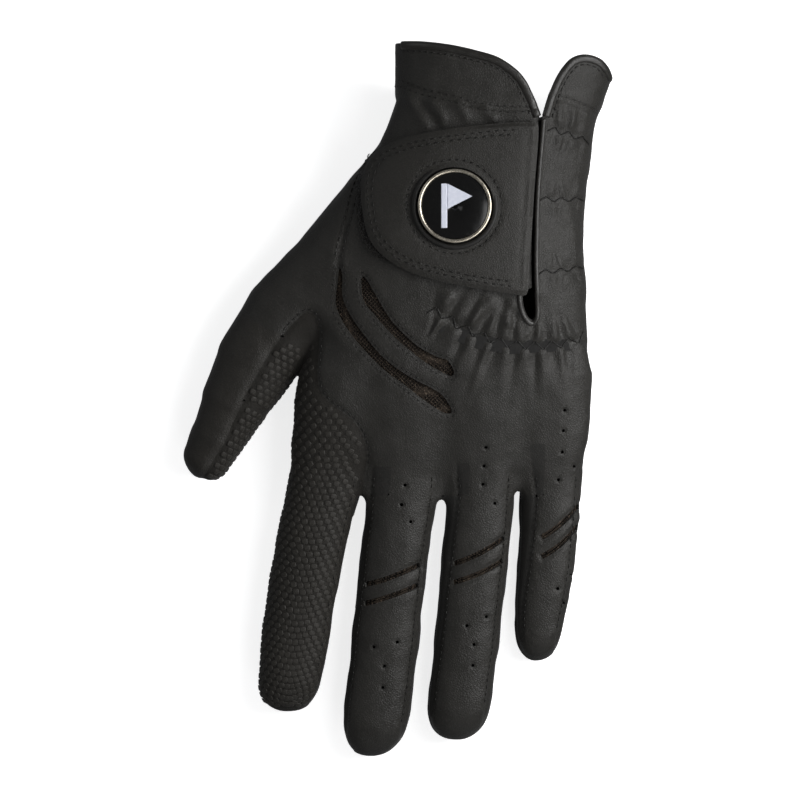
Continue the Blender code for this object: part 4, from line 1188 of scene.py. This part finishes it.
# side strips begin in the web between the knuckles
strip = {}
back_seam = {}  # positive on a finger's back: how far past the seam of the strip on its thumb side
for name in FINGERS:
    back_seam[name] = np.minimum(Z - HIGH, X - EDGES[name][0] - np.interp(Y, *SEAM_INSET[name]))
for name, (a, b) in {
    "index_middle": ("index", "middle"), "middle_ring": ("middle", "ring"),
    "ring_little": ("ring", "little")
}.items():
    mid = BETWEEN[name]
    top_edge = np.where(X < mid, Z - HIGH, -back_seam[b])
    strip[name] = both(
        np.where(X < mid, mid - X - 4.6, X - mid - 8.0),
        Y + {"index_middle": 21.0, "middle_ring": 20.0, "ring_little": 14.0}[name], top_edge, LOW - Z
    )
CUFF_TOP = {
    "back": np.interp(X, *np.transpose([(-5, 109.6), *CUFF])),
    "flap": np.interp(X, *np.transpose([*FLAP, (70, 97.0)])),
    "palm": np.interp(X, *np.transpose(PALM_CUFF)),
}
top = np.where(X < 43.5, CUFF_TOP["back"], CUFF_TOP["flap"])
rise = smoothstep(Z, 8.0, 15.0)
cuff_cut = (Y - (CUFF_TOP["palm"] * (1 - rise) + top * rise)) * 0.8
slit_d = along_path(SLIT, XY)[0]
slit_cut = np.where(Z > 14, SLIT_HALF - slit_d, -FAR)  # positive where the slit is cut away
tear_cut = np.where(Z > 14, -inside_field(TEARDROP, XY), -FAR)
slot_a = np.where(Z > 12, inside_field(SLOT_A, XY), FAR)
slot_b = np.where(Z > 12, inside_field(SLOT_B, XY), FAR)
hole_cut = np.full(len(X), -FAR)
for c in HOLES:
    near = np.flatnonzero((Z > BACK_Z) & (np.abs(X - c[0]) < 3) & (np.abs(Y - c[1]) < 3))
    hole_cut[near] = np.maximum(hole_cut[near], HOLE_RADIUS - np.hypot(X[near] - c[0], Y[near] - c[1]))
finger_slot_cut = np.full(len(X), -FAR)
for outline in ALL_SLOTS:
    near = np.flatnonzero((Z > BACK_Z) & in_box(outline, XY, 3))
    finger_slot_cut[near] = np.maximum(finger_slot_cut[near], -inside_field(outline, XY[near]))
grip_area = np.where(Z > 0, inside_field(GRIP_AREA, XY), 0)
seam_d = along_path(SEAM_LEFT, XY)[0]
seam_open = np.where((Z > 12) & (Y > 40.0), seam_d, FAR)  # the side seam, above the slot that follows it
thumb_zone = np.where(X < -12, np.maximum(-(T_ALONG + 4.0), past_thumb(BASE)), FAR)

# every sewn edge draws the skin down to its seam: (distance from the seam, depth, width)
top_side = Z - Z_SEAM
web_near = np.minimum.reduce([np.abs(X - m) for m in BETWEEN.values()]) < 7
SEAMS = [
    (top_side, 0.5 * np.where((X < -13.9) | (X > 48), 1.0, smoothstep(Y, -26.0, -18.0)), 1.5),
    (seam_open, 0.7, 1.1),
    (np.where((Z > Z_SEAM) & (Y > -26), grip_area, FAR), 0.45, 1.3),
    (np.where(web_near, Z - HIGH, FAR), 0.4 * smoothstep(-Y, 18.0, 25.0), 1.2),
    (np.where(web_near, Z - LOW, FAR), 0.4 * smoothstep(-Y, 18.0, 25.0), 1.2),
    (np.where(Z > 14, either(slit_d - SLIT_HALF, -tear_cut), FAR), 0.25, 1.0),
    (either(slot_a, slot_b, np.where(finger_slot_cut > -8, -finger_slot_cut, FAR)), 0.35, 0.8),
    (np.where(hole_cut > -8, -hole_cut, FAR), 0.25, 0.45),
]
height = relief(BASE, FLAT_N)
for distance, depth, width in SEAMS:
    height -= depth * np.exp(-((distance / width) ** 2))
SKIN = BASE + FLAT_N * height[:, None]
SKIN_N = vertex_normals(SKIN, TRIS)


def cut_piece(name, points, normals, cut, material, replaced, thickness):
    """A closed sheet cut from a whole skin, with its finish and the CAD pieces that it stands for."""
    tris, p, n, rest = clip(points, TRIS, cut, normals, BASE)
    tris = biggest(p, tris)
    used = np.unique(tris)
    remap = np.full(len(p), -1)
    remap[used] = np.arange(len(used))
    tris, p, n, rest = remap[tris], p[used], unit(n[used]), rest[used]
    pts, faces, norms = thicken(p, tris, n, thickness)
    edges = edges_of(tris)
    rim = np.unique(edges[on_rim(edges)])
    obj = make_object(name, pts, faces, norms, np.vstack([rest, rest, rest[rim], rest[rim]]))
    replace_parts(dress(obj, material), *replaced)
    return obj


def panel(name, cut, material, slot, *replaced, thickness=0.7, sink=0.0):
    return cut_piece(name, SKIN - SKIN_N * sink, SKIN_N, cut, material, replaced, thickness)


PALM_NODES = (
    "palm_panel", "thumb_palm_panel", "palm_cuff_inner", "palm_cuff_outer", "palm_crease",
    "knuckle_palm_panel"
)


def at(*mm):
    return tuple(v * MM for v in mm)


def knuckle_blend(obj):
    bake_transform(obj)


BEND = {
    "index": ((-21.5, -12), (-34.3, -98), 41), "middle": ((3.2, -12), (-7.5, -111.7), 46),
    "ring": ((26.9, -12), (18.3, -105.9), 38.3), "little": ((48.5, -12), (43.2, -81.4), 29.3)
}


def finger_blend(obj, name):
    base, tip, bend = BEND[name]
    base, tip = np.array(base), np.array(tip)
    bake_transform(obj)


def thumb_blend(obj):
    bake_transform(obj)


finger_side = Y - SPLIT_Y  # negative on the fingers' own panels
web_zone = either(*strip.values())
back_all = both(-top_side, cuff_cut, -thumb_zone)
panels = {}
panels["hand_back"] = panel(
    "hand_back", both(
        back_all, -grip_area, slit_cut, tear_cut, -slot_a, -slot_b, hole_cut, finger_slot_cut, -web_zone,
        -finger_side
    ),
    "leather", "leather", "back_panel", "knuckle_panel", "thumb_side_panel",
)
panels["grip_web"] = panel(
    "grip_web", both(back_all, grip_area, -finger_side, -web_zone), "grip", "grip", "grip_web_panel",
    "index_grip_base"
)
panels["palm"] = panel(
    "palm", both(top_side, cuff_cut, -thumb_zone, -finger_side, -web_zone), "leather", "leather",
    *PALM_NODES
)
for obj in panels.values():
    knuckle_blend(obj)
for name in strip:
    obj = panel(
        "fourchette_root_" + name, both(strip[name], -finger_side), "fourchette", "leather",
        "fourchette_" + name
    )
    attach(obj, "knuckles")

# stretch mesh shows in the slots
slot_zone = either(slot_a, slot_b) - 1.6
obj = panel(
    "slot_mesh", both(slot_zone, 12.0 - Z), "mesh", "mesh", "hand_flex_mesh", thickness=0.35, sink=0.95
)
knuckle_blend(obj)
for name, outlines in SLOT_OUTLINES.items():
    zone = np.full(len(X), FAR)
    i = np.flatnonzero(
        (Z > BACK_Z) & (np.abs(X - np.mean(outlines[0][:, 0])) < 16)
        & (np.abs(Y - np.mean(outlines[0][:, 1])) < 16)
    )
    zone[i] = np.minimum(inside_field(outlines[0], XY[i]), inside_field(outlines[1], XY[i])) - 1.2
    obj = panel(
        name + "_slot_mesh", both(zone, 8.5 - Z), "mesh", "mesh", name + "_flex_mesh", thickness=0.35,
        sink=0.9
    )
    finger_blend(obj, name)

INNER = {
    "index": ("ulnar",), "middle": ("radial", "ulnar"), "ring": ("radial", "ulnar"), "little": ("radial",)
}
for name in FINGERS:
    left, right = EDGES[name]
    order = list(FINGERS)
    i = order.index(name)
    low_x = BETWEEN[f"{order[i - 1]}_{name}"] if i else np.full(len(X), -46.5)
    high_x = BETWEEN[f"{name}_{order[i + 1]}"] if i < 3 else np.full(len(X), 70.0)
    own = both(low_x - X, X - high_x, finger_side)
    if name == "index":
        own = both(own, -thumb_zone)
    centre = (left + right) / 2
    tip = FINGERS[name]["tip"]
    fade = smoothstep(Y, tip + 1.0, tip + 9.0)  # the strips run out at the very tip
    z_high = 8.2 + (HIGH - 8.2) * fade
    z_low = 7.6 + (LOW - 7.6) * fade

    def seam_height(z):
        return np.where(
            X < centre, *(z if side in INNER[name] else SIDE_SEAM_Z for side in ("radial", "ulnar"))
        )

    # in this frame the thumb side of a finger is towards -X
    above, below = Z - seam_height(z_high), Z - seam_height(z_low)
    if "radial" in INNER[name]:
        inset = (X - left - np.interp(Y, *SEAM_INSET[name])) * fade + above * (1 - fade)
        above = np.where(X < centre, np.minimum(above, inset), above)
    skin = "grip" if name == "index" else "leather"
    back = panel(
        name + "_back_skin", both(own, -above, hole_cut, finger_slot_cut), skin, skin, name + "_back"
    )
    palm = panel(name + "_palm_skin", both(own, below), skin, skin, name + "_palm", name + "_crease")
    finger_blend(back, name)
    finger_blend(palm, name)
    for side in INNER[name]:
        toward = X - centre if side == "radial" else centre - X
        obj = panel(
            f"{name}_fourchette_{side}_skin", both(own, above, -below, toward), "fourchette", "leather",
            f"{name}_fourchette_{side}"
        )
        finger_blend(obj, name)

thumb_faces = (
    ("back", both(thumb_zone, -top_side, -grip_area), "leather_thumb", "leather"),
    ("grip", both(thumb_zone, either(both(-top_side, grip_area), top_side)), "grip", "grip"),
)
for part, past_joint, node in (
    ("root", T_ALONG - THUMB_JOINT, "thumb_base"), ("end", THUMB_JOINT - T_ALONG, "thumb_tip")
):
    for face, cut, material, slot in thumb_faces:
        thumb_blend(
            panel(f"thumb_{part}_{face}", both(cut, past_joint), material, slot, f"{node}_{face}")
        )

# ---- the closure tab, its patches and the ball marker


def over_skin(name, cut, lift, material, slot, *replaced, thickness, body):
    """A sheet that lies over the hand, its top lifted by a field of heights, following the plain form."""
    points = BASE + FLAT_N * lift[:, None]
    obj = cut_piece(name, points, vertex_normals(points, TRIS), cut, material, replaced, thickness)
    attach(obj, body)
    return obj


TAB_TOP = 3.1


def tab_waves(p):
    return 0.18 * waves(p, 21, 26.0)


from_marker = np.hypot(X - MARKER[0], Y - MARKER[1])
tab_edge = np.where(Z > 12, inside_field(TAB, XY), FAR)
tab_height = TAB_TOP - 0.75 * np.exp(-((np.minimum(tab_edge, 0) / 0.9) ** 2)) - 0.22 * np.exp(
    -(((tab_edge + 2.9) / 0.9) ** 2)
)
tab_height += tab_waves(BASE) - 0.3 * np.exp(-(((from_marker - 13.7) / 0.8) ** 2))
over_skin(
    "tab", both(tab_edge, 12.0 - from_marker), tab_height, "leather_tab", "leather", "closure_tab",
    thickness=1.1, body="tab"
)
loop_edge = np.where(Z > 12, inside_field(LOOP, XY), FAR)
over_skin(
    "loop_pile", loop_edge, 1.15 + 0.12 * waves(BASE, 9, 2.5), "pile", "velcro", "loop_patch",
    thickness=0.8, body="hand"
)


def top_of(node):
    """The lowest and highest z of a CAD piece, in millimetres."""
    lowest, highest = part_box(node)
    return lowest[2] / MM, highest[2] / MM


bezel_high = top_of("marker_bezel")[1]
disc_low, disc_high = top_of("marker_disc")
emblem_low, emblem_high = top_of("marker_emblem")
seat_low, seat_high = top_of("marker_seat")
middle = (MARKER[0], MARKER[1], 0.0)
bezel = lathe(
    "bezel",
    [
        (10.15, disc_low), (11.15, disc_low), (11.3, bezel_high - 0.45), (11.22, bezel_high - 0.12),
        (11.0, bezel_high), (10.6, bezel_high), (10.35, bezel_high - 0.1), (10.15, bezel_high - 0.4)
    ],
    middle, 128
)
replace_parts(dress(bezel, "bezel"), "marker_bezel")
disc = lathe(
    "disc",
    [
        (0.02, disc_low), (10.1, disc_low), (10.1, disc_high - 0.05), (9.9, disc_high),
        (5.0, disc_high + 0.01), (0.02, disc_high + 0.012)
    ],
    middle, 96
)
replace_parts(dress(disc, "disc"), "marker_disc")
for obj in (bezel, disc):
    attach(obj, "marker")
seat = lathe(
    "seat",
    [
        (11.55, seat_low + 0.2), (13.2, seat_low + 0.2), (13.3, seat_high - 0.35), (13.0, seat_high - 0.05),
        (12.4, seat_high), (11.9, seat_high - 0.1), (11.55, seat_high - 0.5)
    ],
    middle, 128
)
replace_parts(dress(seat, "rubber"), "marker_seat")
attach(seat, "tab")

# a generic flag on a stick, in raised enamel with rounded edges


def raised(name, outline, low, high, bevel=0.22):
    """A flat-topped shape with softened edges."""
    p = resample(np.asarray(outline, float), 0.35, closed=True)
    t = np.roll(p, -1, 0) - np.roll(p, 1, 0)
    t /= np.linalg.norm(t, axis=1)[:, None]
    inward = np.stack([-t[:, 1], t[:, 0]], 1)
    steps = ((0.0, low), (0.0, high - bevel), (0.45, high - bevel * 0.3), (1.0, high))
    rings = [np.column_stack([p + inward * bevel * k, np.full(len(p), z)]) for k, z in steps]
    m = len(p)
    mesh_obj = make_object(name, np.vstack(rings), ring_quads(len(rings), m)[:, [0, 3, 2, 1]])
    bm = bmesh.new()
    bm.from_mesh(mesh_obj.data)
    bm.verts.ensure_lookup_table()
    bm.faces.new([bm.verts[3 * m + i] for i in range(m)])
    bmesh.ops.triangulate(bm, faces=[f for f in bm.faces if len(f.verts) > 4])
    bm.to_mesh(mesh_obj.data)
    bm.free()
    return mesh_obj


mx, my = MARKER
pole = raised(
    "flag_pole", [(mx - 4.2, my - 6.8), (mx - 2.3, my - 6.8), (mx - 2.3, my + 6.8), (mx - 4.2, my + 6.8)],
    emblem_low, emblem_high
)
cloth = raised(
    "flag_cloth", [(mx - 2.3, my - 1.0), (mx + 5.4, my + 2.9), (mx - 2.3, my + 6.8)], emblem_low,
    emblem_high
)
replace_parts(pole, "marker_emblem")
for obj in (pole, cloth):
    dress(obj, "emblem")
    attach(obj, "marker")

# ---- bound edges


def bound(name, path, normals, half_width, half_height, replaced):
    obj = dress(sweep(name, path, normals, half_width, half_height, 14), "binding")
    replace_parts(obj, replaced)
    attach(obj, "hand")


for name, edge in (("cuff", CUFF), ("flap", FLAP)):
    p, n = on_back(offset_path(curve_through(edge, 0.6), -0.7), -0.15)
    bound(name + "_piping", p, n, 1.3, 0.85, name + "_binding")
palm_path = curve_through(PALM_CUFF[1:-1], 0.6)
o = np.column_stack([palm_path[:, 0], palm_path[:, 1] - 0.5, np.full(len(palm_path), 12.0)])
p, n = shoot(o, np.tile([0.0, 0.0, -1.0], (len(o), 1)))
bound("palm_piping", p - n * 0.2, n, 1.2, 0.8, "palm_binding")
slit_edge = curve_through(
    [
        (44.1, 85.5), (43.0, 73.0), (42.2, 61.0), (41.9, 49.0), (41.9, 38.0), (42.2, 31.0), (42.5, 27.0),
        (42.1, 24.0), (40.7, 22.9), (38.8, 24.4), (37.4, 27.6), (36.9, 30.9), (37.6, 33.4), (39.4, 34.8)
    ],
    0.5
)
p, n = on_back(slit_edge, 0.25)
bound("slit_piping", p, n, 0.75, 0.55, "slit_binding")

# ---- sewing

STITCH = 0.19


def finish_threads(threads, name, join):
    """Builds the threads as one piece, and lets join say how it moves."""
    join(dress(threads.build(name), "thread"))


def sew(threads, line, lift, length=1.5, gap=0.8, radius=STITCH):
    """Running stitches along a line on the back of the hand."""
    p, n = on_back(line, lift)
    threads.line(p, n, length, gap, radius)


hand_threads = Threads()
for path, (_, pitch, amplitude) in zip(ROW_PATHS, ROWS):
    length = path_length(path)
    run = run_along(path)
    count = int(length / (pitch / 2))
    s = np.linspace(0, length, count + 1)
    centre = np.stack([np.interp(s, run, path[:, k]) for k in range(2)], 1)
    t = np.gradient(centre, axis=0)
    t /= np.linalg.norm(t, axis=1)[:, None]
    reach = amplitude * np.where(np.arange(count + 1) % 2, 1, -1)
    corner = centre + np.stack([-t[:, 1], t[:, 0]], 1) * reach[:, None]
    for a, b in zip(corner[:-1], corner[1:]):
        steps = max(6, int(np.linalg.norm(b - a) / 0.35))
        q = a + (b - a) * np.linspace(0.04, 0.96, steps)[:, None]
        p, n = on_back(q, 0.1)
        ends = np.sin(np.linspace(0, math.pi, steps)) ** 0.4
        hand_threads.add(p + n * (ends * 0.22 - 0.1)[:, None], n, STITCH * 1.25)
for path, side in ((CUFF_SEAM, 0.9), (CUFF_SEAM, -0.9), (FLAP_SEAM, 0.9)):
    sew(hand_threads, resample(offset_path(path, side), 0.5), -0.12)
left_run = SEAM_LEFT[(SEAM_LEFT[:, 1] > 42) & (SEAM_LEFT[:, 1] < 76)]
for side in (-1.0, 1.0):
    sew(hand_threads, resample(offset_path(left_run, side), 0.5), -0.25)
for outline in (SLOT_A, SLOT_B):
    sew(hand_threads, offset_path(np.vstack([outline, outline[:1]]), -1.0), -0.1, 1.1, 0.7, STITCH * 0.8)
for edge in (CUFF, FLAP):
    sew(hand_threads, resample(offset_path(curve_through(edge, 0.5), -2.6), 0.5), 0.02, 1.4, 0.7)
finish_threads(hand_threads, "hand_threads", knuckle_blend)

tab_threads = Threads()
edge = curve_through(np.vstack([TAB[::3], TAB[:1]]), 0.5)
for inset in (2.2, 3.6):
    line = offset_path(edge, inset)
    line = line[line[:, 0] < 36.5 if inset < 3 else line[:, 0] < 35.0]
    d = np.linalg.norm(np.diff(line, axis=0), axis=1)
    for part in np.split(line, np.flatnonzero(d > 3) + 1):
        if len(part) > 8:
            p, n = plain_back(part, TAB_TOP - 0.02)
            p += n * (tab_waves(p - n * TAB_TOP) - 0.1)[:, None]
            tab_threads.line(p, n, 1.7, 0.8, STITCH)
turn = np.linspace(0, 2 * math.pi, 180)
ring = MARKER + 14.3 * np.stack([np.cos(turn), np.sin(turn)], 1)
p, n = plain_back(ring, TAB_TOP)
p += n * (tab_waves(p - n * TAB_TOP) - 0.15)[:, None]
tab_threads.line(p, n, 1.5, 0.8, STITCH)
finish_threads(tab_threads, "tab_threads", lambda obj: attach(obj, "tab"))

for name in FINGERS:
    root, ends = Threads(), Threads()
    tip = FINGERS[name]["tip"]
    ys = np.arange(-24.0, tip + 10.0, -0.6)
    left, right = table_at(FINGERS[name]["rows"], ys)
    for k, side in ((0, "radial"), (1, "ulnar")):
        if name == "index" and side == "radial":
            continue
        inset = np.interp(ys, *SEAM_INSET[name]) + 0.75
        line = np.column_stack([left + inset if k == 0 else right - 2.2, ys])
        p, n = on_back(line, 0.03)
        root_part = ys > SPLIT_Y
        root.line(p[root_part], n[root_part], 1.3, 0.8, STITCH * 0.85)
        ends.line(p[~root_part], n[~root_part], 1.3, 0.8, STITCH * 0.85)
    finish_threads(root, name + "_root_threads", knuckle_blend)
    finish_threads(ends, name + "_threads", lambda obj: finger_blend(obj, name))

# the grip panel's own seam
web_threads = Threads()
line = resample(offset_path(GRIP, 0.9), 0.5)
keep = (thumb_along(line) < -5) | (line[:, 0] > -28)
line = line[keep & (line[:, 1] > -21)]
sew(web_threads, line, -0.2, 1.3, 0.8, STITCH * 0.85)
finish_threads(web_threads, "web_threads", knuckle_blend)

# ---- grip tiles


class Tiles:
    """Small raised pads gathered into one mesh, each of three rings of points and a point on top."""

    SIDES, RINGS = 8, 3

    def __init__(self, name, blend):
        self.name, self.blend, self.points, self.count = name, blend, [], 0

    def add(self, centre, normal, along, half_long, half_wide, height=0.3):
        across = unit(np.cross(normal, along))
        along = np.cross(across, normal)
        angles = np.arange(8) * math.pi / 4 + math.pi / 8
        c, s = np.cos(angles), np.sin(angles)
        c, s = np.sign(c) * np.abs(c) ** 0.55, np.sign(s) * np.abs(s) ** 0.55
        rings = []
        for scale, lift in ((1.0, -0.1), (0.93, height * 0.6), (0.66, height)):
            out = across[:, None] * (c * half_wide * scale)[None, :, None]
            out = centre[:, None] + out + along[:, None] * (s * half_long * scale)[None, :, None]
            rings.append(out + normal[:, None] * lift)
        top = centre[:, None] + normal[:, None] * (height * 1.08)
        self.points.append(np.concatenate([*rings, top], axis=1))
        self.count += len(centre)

    def build(self):
        pts = np.concatenate(self.points).reshape(-1, 3)
        sides = self.SIDES
        first = np.arange(self.count)[:, None] * (sides * self.RINGS + 1)
        j, beside = np.arange(sides)[None, :], (np.arange(sides) + 1)[None, :] % sides
        faces = []
        for low in range(0, sides * (self.RINGS - 1), sides):
            high = low + sides
            faces.append(
                np.stack([first + low + j, first + low + beside, first + high + beside, first + high + j], -1)
            )
        last, top = sides * (self.RINGS - 1), first + sides * self.RINGS + 0 * j
        fan = np.stack([first + last + j, first + last + beside, top], -1).reshape(-1, 3)
        obj = make_object(self.name, pts, [np.vstack([f.reshape(-1, 4) for f in faces]), fan])
        self.blend(dress(obj, "tile"))


def lifted(p, n):
    return p + n * relief(p, n)[:, None]


web_tiles = Tiles("web_tiles", knuckle_blend)
index_tiles = Tiles("index_tiles", lambda o: finger_blend(o, "index"))
thumb_root_tiles = Tiles("thumb_root_tiles", lambda o: thumb_blend(o))
thumb_end_tiles = Tiles("thumb_end_tiles", lambda o: thumb_blend(o))
PITCH_ALONG, PITCH_ACROSS = 1.95, 2.3
UPRIGHT = 2.0  # the greatest angle round the finger, in radians, at which a tile starts
for row, y in enumerate(np.arange(22.0, -97.0, -PITCH_ALONG)):
    left, right = (v.item() for v in table_at(FINGERS["index"]["rows"], np.array([y])))
    if y > -20:
        right = -9.0
    centre, radius = (left + right) / 2, 9.5
    s = (np.arange(-11, 12) + 0.5 * (row % 2)) * PITCH_ACROSS
    theta = s / radius
    theta = theta[np.abs(theta) < UPRIGHT]
    arc = 0.035 * (np.sin(theta) * radius) ** 2
    o = np.column_stack([np.full(len(theta), centre), np.full(len(theta), y) + arc, np.full(len(theta), 9.0)])
    d = np.column_stack([np.sin(theta), np.zeros(len(theta)), np.cos(theta)])
    p, n = shoot(o, d)
    seam_z = np.interp(-p[:, 1], [14.0, 26.0], [12.0, 7.8])
    ok = ((inside_field(GRIP_AREA, p[:, :2]) < -1.5) | (p[:, 1] < SPLIT_Y)) & (
        p[:, 2] > np.where(p[:, 1] > -24, seam_z + 1.2, 2.5)
    )
    ok &= ~((p[:, 0] > centre) & (p[:, 1] < -20) & (np.abs(n[:, 2]) < 0.45))
    ok &= (p[:, 1] > FINGERS["index"]["tip"] + 2.0) & (np.abs(p[:, 2] - SIDE_SEAM_Z) > 0.9)
    ok &= past_thumb(p) > 0.8
    if ok.any():
        p, n = p[ok], n[ok]
        along = np.column_stack([0.07 * (p[:, 0] - centre), np.ones(len(p)), np.zeros(len(p))])
        q = lifted(p, n)
        grow = rng.uniform(0.92, 1.05, len(p))[:, None]
        target = np.where(p[:, 1] > SPLIT_Y - 0.2, 0, 1)
        for group, tiles in ((0, web_tiles), (1, index_tiles)):
            k = target == group
            if k.any():
                tiles.add(q[k], n[k], along[k] * grow[k], 0.87, 1.06, 0.13)
for row, s in enumerate(np.arange(-6.0, 48.0, PITCH_ALONG)):
    centre = THUMB_ROOT + THUMB_DIR * s
    width = float(np.interp(s, [-6, 48], [11.0, 7.0]))
    theta = (np.arange(-8, 9) + 0.5 * (row % 2)) * (PITCH_ACROSS * 0.92) / width
    theta = theta[np.abs(theta) < 2.1]
    across = np.array([-THUMB_DIR[1], THUMB_DIR[0], 0.0])
    o = np.tile([*centre, 8.6], (len(theta), 1))
    d = np.sin(theta)[:, None] * across + np.cos(theta)[:, None] * np.array([0, 0, 1.0])
    p, n = shoot(o, d)
    grip_in = inside_field(GRIP_AREA, p[:, :2]) < -1.2
    zs = np.interp(thumb_along(p[:, :2]), [-25.0, -4.0], [12.0, 6.6])
    ok = ((grip_in & (p[:, 2] > zs + 1.0)) | (p[:, 2] < zs - 1.0)) & (past_thumb(p) < -0.8)
    if ok.any():
        p, n = p[ok], n[ok]
        tiles = thumb_root_tiles if s < THUMB_JOINT - 1.0 else thumb_end_tiles
        if -4.0 < s and abs(s - THUMB_JOINT) > 0.9:
            tiles.add(lifted(p, n), n, np.tile([*THUMB_DIR, 0.0], (len(p), 1)), 0.85, 0.97, 0.16)
for tiles in (web_tiles, index_tiles, thumb_root_tiles, thumb_end_tiles):
    if tiles.count:
        tiles.build()

# ---- what shows of the CAD pieces as they are

KEPT = {
    "band": (
        "cuff_lining", "flap_lining", "flap_elastic_1", "flap_elastic_2", "flap_elastic_3", "heel_elastic"
    ),
    "label": ("care_label",),
    "hook": ("tab_hook_patch",),
    "rubber": ("seat_base",),
    "magnet": ("seat_magnet",),
}
for material, names in KEPT.items():
    for name in names:
        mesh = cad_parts[name].data
        mesh.materials.clear()
        mesh.materials.append(M[material])
        attribute = mesh.attributes.new("rest", "FLOAT_VECTOR", "POINT")
        attribute.data.foreach_set("vector", (np.array([v.co for v in mesh.vertices], float) / MM).ravel())

# ---- the table, the light and the camera

scene = bpy.context.scene


def floor():
    """Pale paper that gives its own light."""
    mesh = bpy.data.meshes.new("table")
    s = 3.0  # half its side
    mesh.from_pydata([(-s, -s, 0), (s, -s, 0), (s, s, 0), (-s, s, 0)], [], [(0, 1, 2, 3)])
    obj = bpy.data.objects.new("table", mesh)
    scene.collection.objects.link(obj)
    k = Nodes("table_paper")
    paper = k.mix(k.noise(0.02, 2.0), (0.80, 0.80, 0.80), (0.84, 0.84, 0.84))
    obj.data.materials.append(
        k.finish(Base_Color=paper, Emission_Color=paper, Emission_Strength=0.95, Roughness=0.9)
    )
    obj.visible_diffuse = False
    obj.visible_glossy = False


def light(name, where, aim, size, power):
    data = bpy.data.lights.new(name, "AREA")
    data.shape = "RECTANGLE"
    data.size, data.size_y = size
    data.energy = power
    obj = bpy.data.objects.new(name, data)
    scene.collection.objects.link(obj)
    obj.location = where
    obj.rotation_euler = (Vector(aim) - Vector(where)).to_track_quat("-Z", "Y").to_euler()


floor()
light("key", (0.9, 0.35, 0.72), (0, 0, 0), (0.45, 0.45), 6.8)
light("near", (0.2, 0.0, 0.22), (0.03, 0, 0.03), (0.16, 0.3), 0.52)
light("fill", (-1.0, 0.5, 0.7), (0, 0, 0), (0.6, 0.6), 1.2)
light("low", (0.35, -1.1, 0.75), (0, 0, 0), (0.6, 0.6), 2.0)

world = bpy.data.worlds.new("studio")
scene.world = world
world.use_nodes = True
world.node_tree.nodes["Background"].inputs["Color"].default_value = (0.95, 0.97, 1.0, 1.0)
world.node_tree.nodes["Background"].inputs["Strength"].default_value = 0.16

camera_data = bpy.data.cameras.new("camera")
camera_data.lens = 200.0
camera_data.sensor_width = 36.0
camera = bpy.data.objects.new("camera", camera_data)
scene.collection.objects.link(camera)
camera.location = (0.0003, -0.0005, 1.39)
camera.rotation_euler = (0.0, 0.0, 0.0)
scene.camera = camera
scene.view_settings.view_transform = "Standard"
